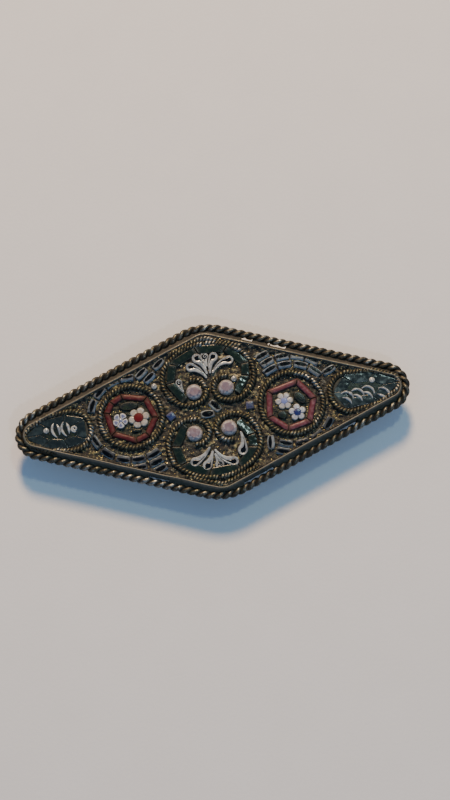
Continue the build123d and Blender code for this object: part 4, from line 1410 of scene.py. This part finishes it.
cobalt_glass = glass("cobalt_glass", cobalt_colour, (0.045, 0.062, 0.16), 0.5, 0.8, 0.2, 0.02, ("ring",))
chips = []
for number, (x, y, turn) in enumerate(BLUE_ROWS):
    outline = polygon_outline(CHIP_SIZE * 0.68, 4, turn + 45, 0.2)
    grid, shares = dome(x * HALF_LENGTH, y * HALF_WIDTH, outline, GLASS_TOP, 0.16)
    chips.append(rings(grid, {**shares, "tint": number}))
build("cobalt_pieces", chips, cobalt_glass, ["blue_chips"])
beads = [disc(x * HALF_LENGTH, y * HALF_WIDTH, BEAD_RADIUS, BEAD_RADIUS, 0, GLASS_TOP + 0.08, 0.16, 0.1)
         for x, y in BEAD_ROWS]
build("round_beads", beads, bead_glass, ["white_beads"])

# Cut stones
STONE_TABLE = 0.66
STONE_BREAK = 1.0
STONE_CROWN = 0.46
STONE_GIRDLE = 4.79


def cut_stone(x, y, turn):
    """Round cut stone with an eight-sided table: eight star facets, eight kites, sixteen girdle facets.
    The middle row of corners has the height that keeps each kite flat."""
    def ring(count, radius, height, first):
        way = compass(np.radians(first + turn + 360 / count * np.arange(count)))
        return np.column_stack([np.array([x, y]) + radius * way, np.full(count, height)])

    top = STONE_GIRDLE + STONE_CROWN
    fall = (STONE_RADIUS - STONE_BREAK * math.cos(math.pi / 8)) / (STONE_RADIUS - STONE_TABLE)
    points = np.vstack([
        ring(8, STONE_TABLE, top, 0), ring(8, STONE_BREAK, STONE_GIRDLE + STONE_CROWN * fall, 22.5),
        ring(16, STONE_RADIUS, STONE_GIRDLE, 0), ring(16, STONE_RADIUS, GLASS_LOW, 0),
        [(x, y, top), (x, y, GLASS_LOW)],
    ])
    k, j = np.arange(8), np.arange(16)
    table, middle, girdle, foot = k, 8 + k, 16 + j, 32 + j
    even_girdle, odd_girdle, next_girdle = 16 + 2 * k, 17 + 2 * k, 16 + (2 * k + 2) % 16
    following, before = np.roll(table, -1), np.roll(middle, 1)
    beside, next_foot = np.roll(girdle, -1), np.roll(foot, -1)
    squares = np.vstack([
        np.stack([table, before, even_girdle, middle], 1), np.stack([girdle, foot, next_foot, beside], 1),
    ])
    triangles = np.vstack([
        np.stack([np.full(8, 48), table, following], 1), np.stack([table, middle, following], 1),
        np.stack([middle, even_girdle, odd_girdle], 1), np.stack([middle, odd_girdle, next_girdle], 1),
        np.stack([np.full(16, 49), next_foot, foot], 1),
    ])
    ring_share = np.hypot(points[:, 0] - x, points[:, 1] - y) / STONE_RADIUS
    return points, squares, triangles, {"ring": ring_share}


def pink_colour(board):
    """Lilac pink in the middle, with cloudy flaws, paler towards the girdle: partly milky glass and
    partly a painted reflection on the crown facets.
    """
    # Paler towards the girdle: milky glass, and a painted reflection on the crown facets
    pale = board.step(board.sum(board.field("ring"), (board.noise(0.6, 3), 1.1)), 1.12, 1.38)
    cloud = board.step(board.noise(0.9, 3), 0.4, 0.62)
    middle = board.mix(cloud, (0.150, 0.104, 0.106), (0.140, 0.108, 0.124))
    return board.mix(pale, middle, (0.36, 0.325, 0.30))


pink_glass = glass("pink_glass", pink_colour, (0.27, 0.23, 0.235), 0.4, 0.7, 0.0, 0.008, ("ring",))
for number, ((level, side), (x, y)) in enumerate(STONES.items()):
    piece = build(f"stone_{level}_{side}", [cut_stone(x, y, 9 * number - 12)], pink_glass,
                  [f"pink_stone_{level}_{side}"])
    piece.data.polygons.foreach_set("use_smooth", np.zeros(len(piece.data.polygons), bool))

# Pin fitting on the back
pin_brass = brass("pin_brass", 0.35, 0.02, 0.72)
fitting_mesh = bpy.data.objects["pin_fitting"].data
fitting_mesh.materials.clear()
fitting_mesh.materials.append(pin_brass)

# Floor
FLOOR_HALF = 0.6
floor_mesh = bpy.data.meshes.new("floor")
floor_corners = [(x * FLOOR_HALF, y * FLOOR_HALF, 0) for x, y in ((-1, -1), (1, -1), (1, 1), (-1, 1))]
floor_mesh.from_pydata(floor_corners, [], [(0, 1, 2, 3)])
paper, board = material("paper")
tone = board.mix(board.noise(9.0, 4), (0.56, 0.545, 0.52), (0.60, 0.585, 0.56))
board.finish(Base_Color=tone, Roughness=board.span(board.noise(1.2, 3), 0.75, 0.9),
             Normal=board.bump(board.noise(0.5, 4), 0.02))
floor_mesh.materials.append(paper)
floor = bpy.data.objects.new("floor", floor_mesh)
bpy.context.scene.collection.objects.link(floor)
floor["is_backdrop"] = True


# Light
def lamp(name, azimuth, elevation, distance, size, power, colour):
    """Square lamp that looks at the brooch; azimuth is counted from +x towards +y."""
    data = bpy.data.lights.new(name, "AREA")
    data.shape, data.size, data.energy, data.color = "SQUARE", size, power, colour
    made = bpy.data.objects.new(name, data)
    a, e = math.radians(azimuth), math.radians(elevation)
    way = np.array([math.cos(e) * math.cos(a), math.cos(e) * math.sin(a), math.sin(e)])
    made.matrix_world = looking(way * distance, way, (0, 0, 1))
    bpy.context.scene.collection.objects.link(made)


def looking(place, back, up):
    """Placement whose +z axis points back from what is looked at."""
    back = np.array(back, float) / np.linalg.norm(back)
    right = np.cross(up, back)
    right /= np.linalg.norm(right)
    top = np.cross(back, right)
    return Matrix([(*row, at) for row, at in zip(np.stack([right, top, back], 1), place)] + [(0, 0, 0, 1)])


lamp("key", 88, 40, 0.7, 0.13, 9.6, (1.0, 0.69, 0.40))
lamp("glint", -72, 56, 0.5, 0.03, 0.4, (0.88, 0.95, 1.0))
lamp("window", 58, 61, 0.5, 0.045, 0.45, (0.72, 1.0, 0.93))

world = bpy.data.worlds.new("world")
bpy.context.scene.world = world
world.use_nodes = True
sky = world.node_tree.nodes["Background"].inputs
sky["Color"].default_value = (0.19, 0.48, 1.0, 1.0)
sky["Strength"].default_value = 0.56

# Camera
turn, lift = math.radians(CAMERA_TURN), math.radians(CAMERA_ELEVATION)
back = np.array([-math.cos(lift) * math.sin(turn), -math.cos(lift) * math.cos(turn), math.sin(lift)])
across = np.array([math.cos(turn), -math.sin(turn), 0.0])
image_up = np.cross(back, across)
target = np.array([0, 0, AIM_HEIGHT]) + AIM_RIGHT * across + AIM_UP * image_up
camera_data = bpy.data.cameras.new("camera")
camera_data.lens = CAMERA_LENS
camera_data.clip_start = 0.01
camera = bpy.data.objects.new("camera", camera_data)
camera.matrix_world = looking((target + back * CAMERA_DISTANCE) * MM, back, image_up)
bpy.context.scene.collection.objects.link(camera)
bpy.context.scene.camera = camera

boxes = {"cad": cad_box, "visual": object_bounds()}
boxes = {name: [list(map(float, corner)) for corner in box] for name, box in boxes.items()}
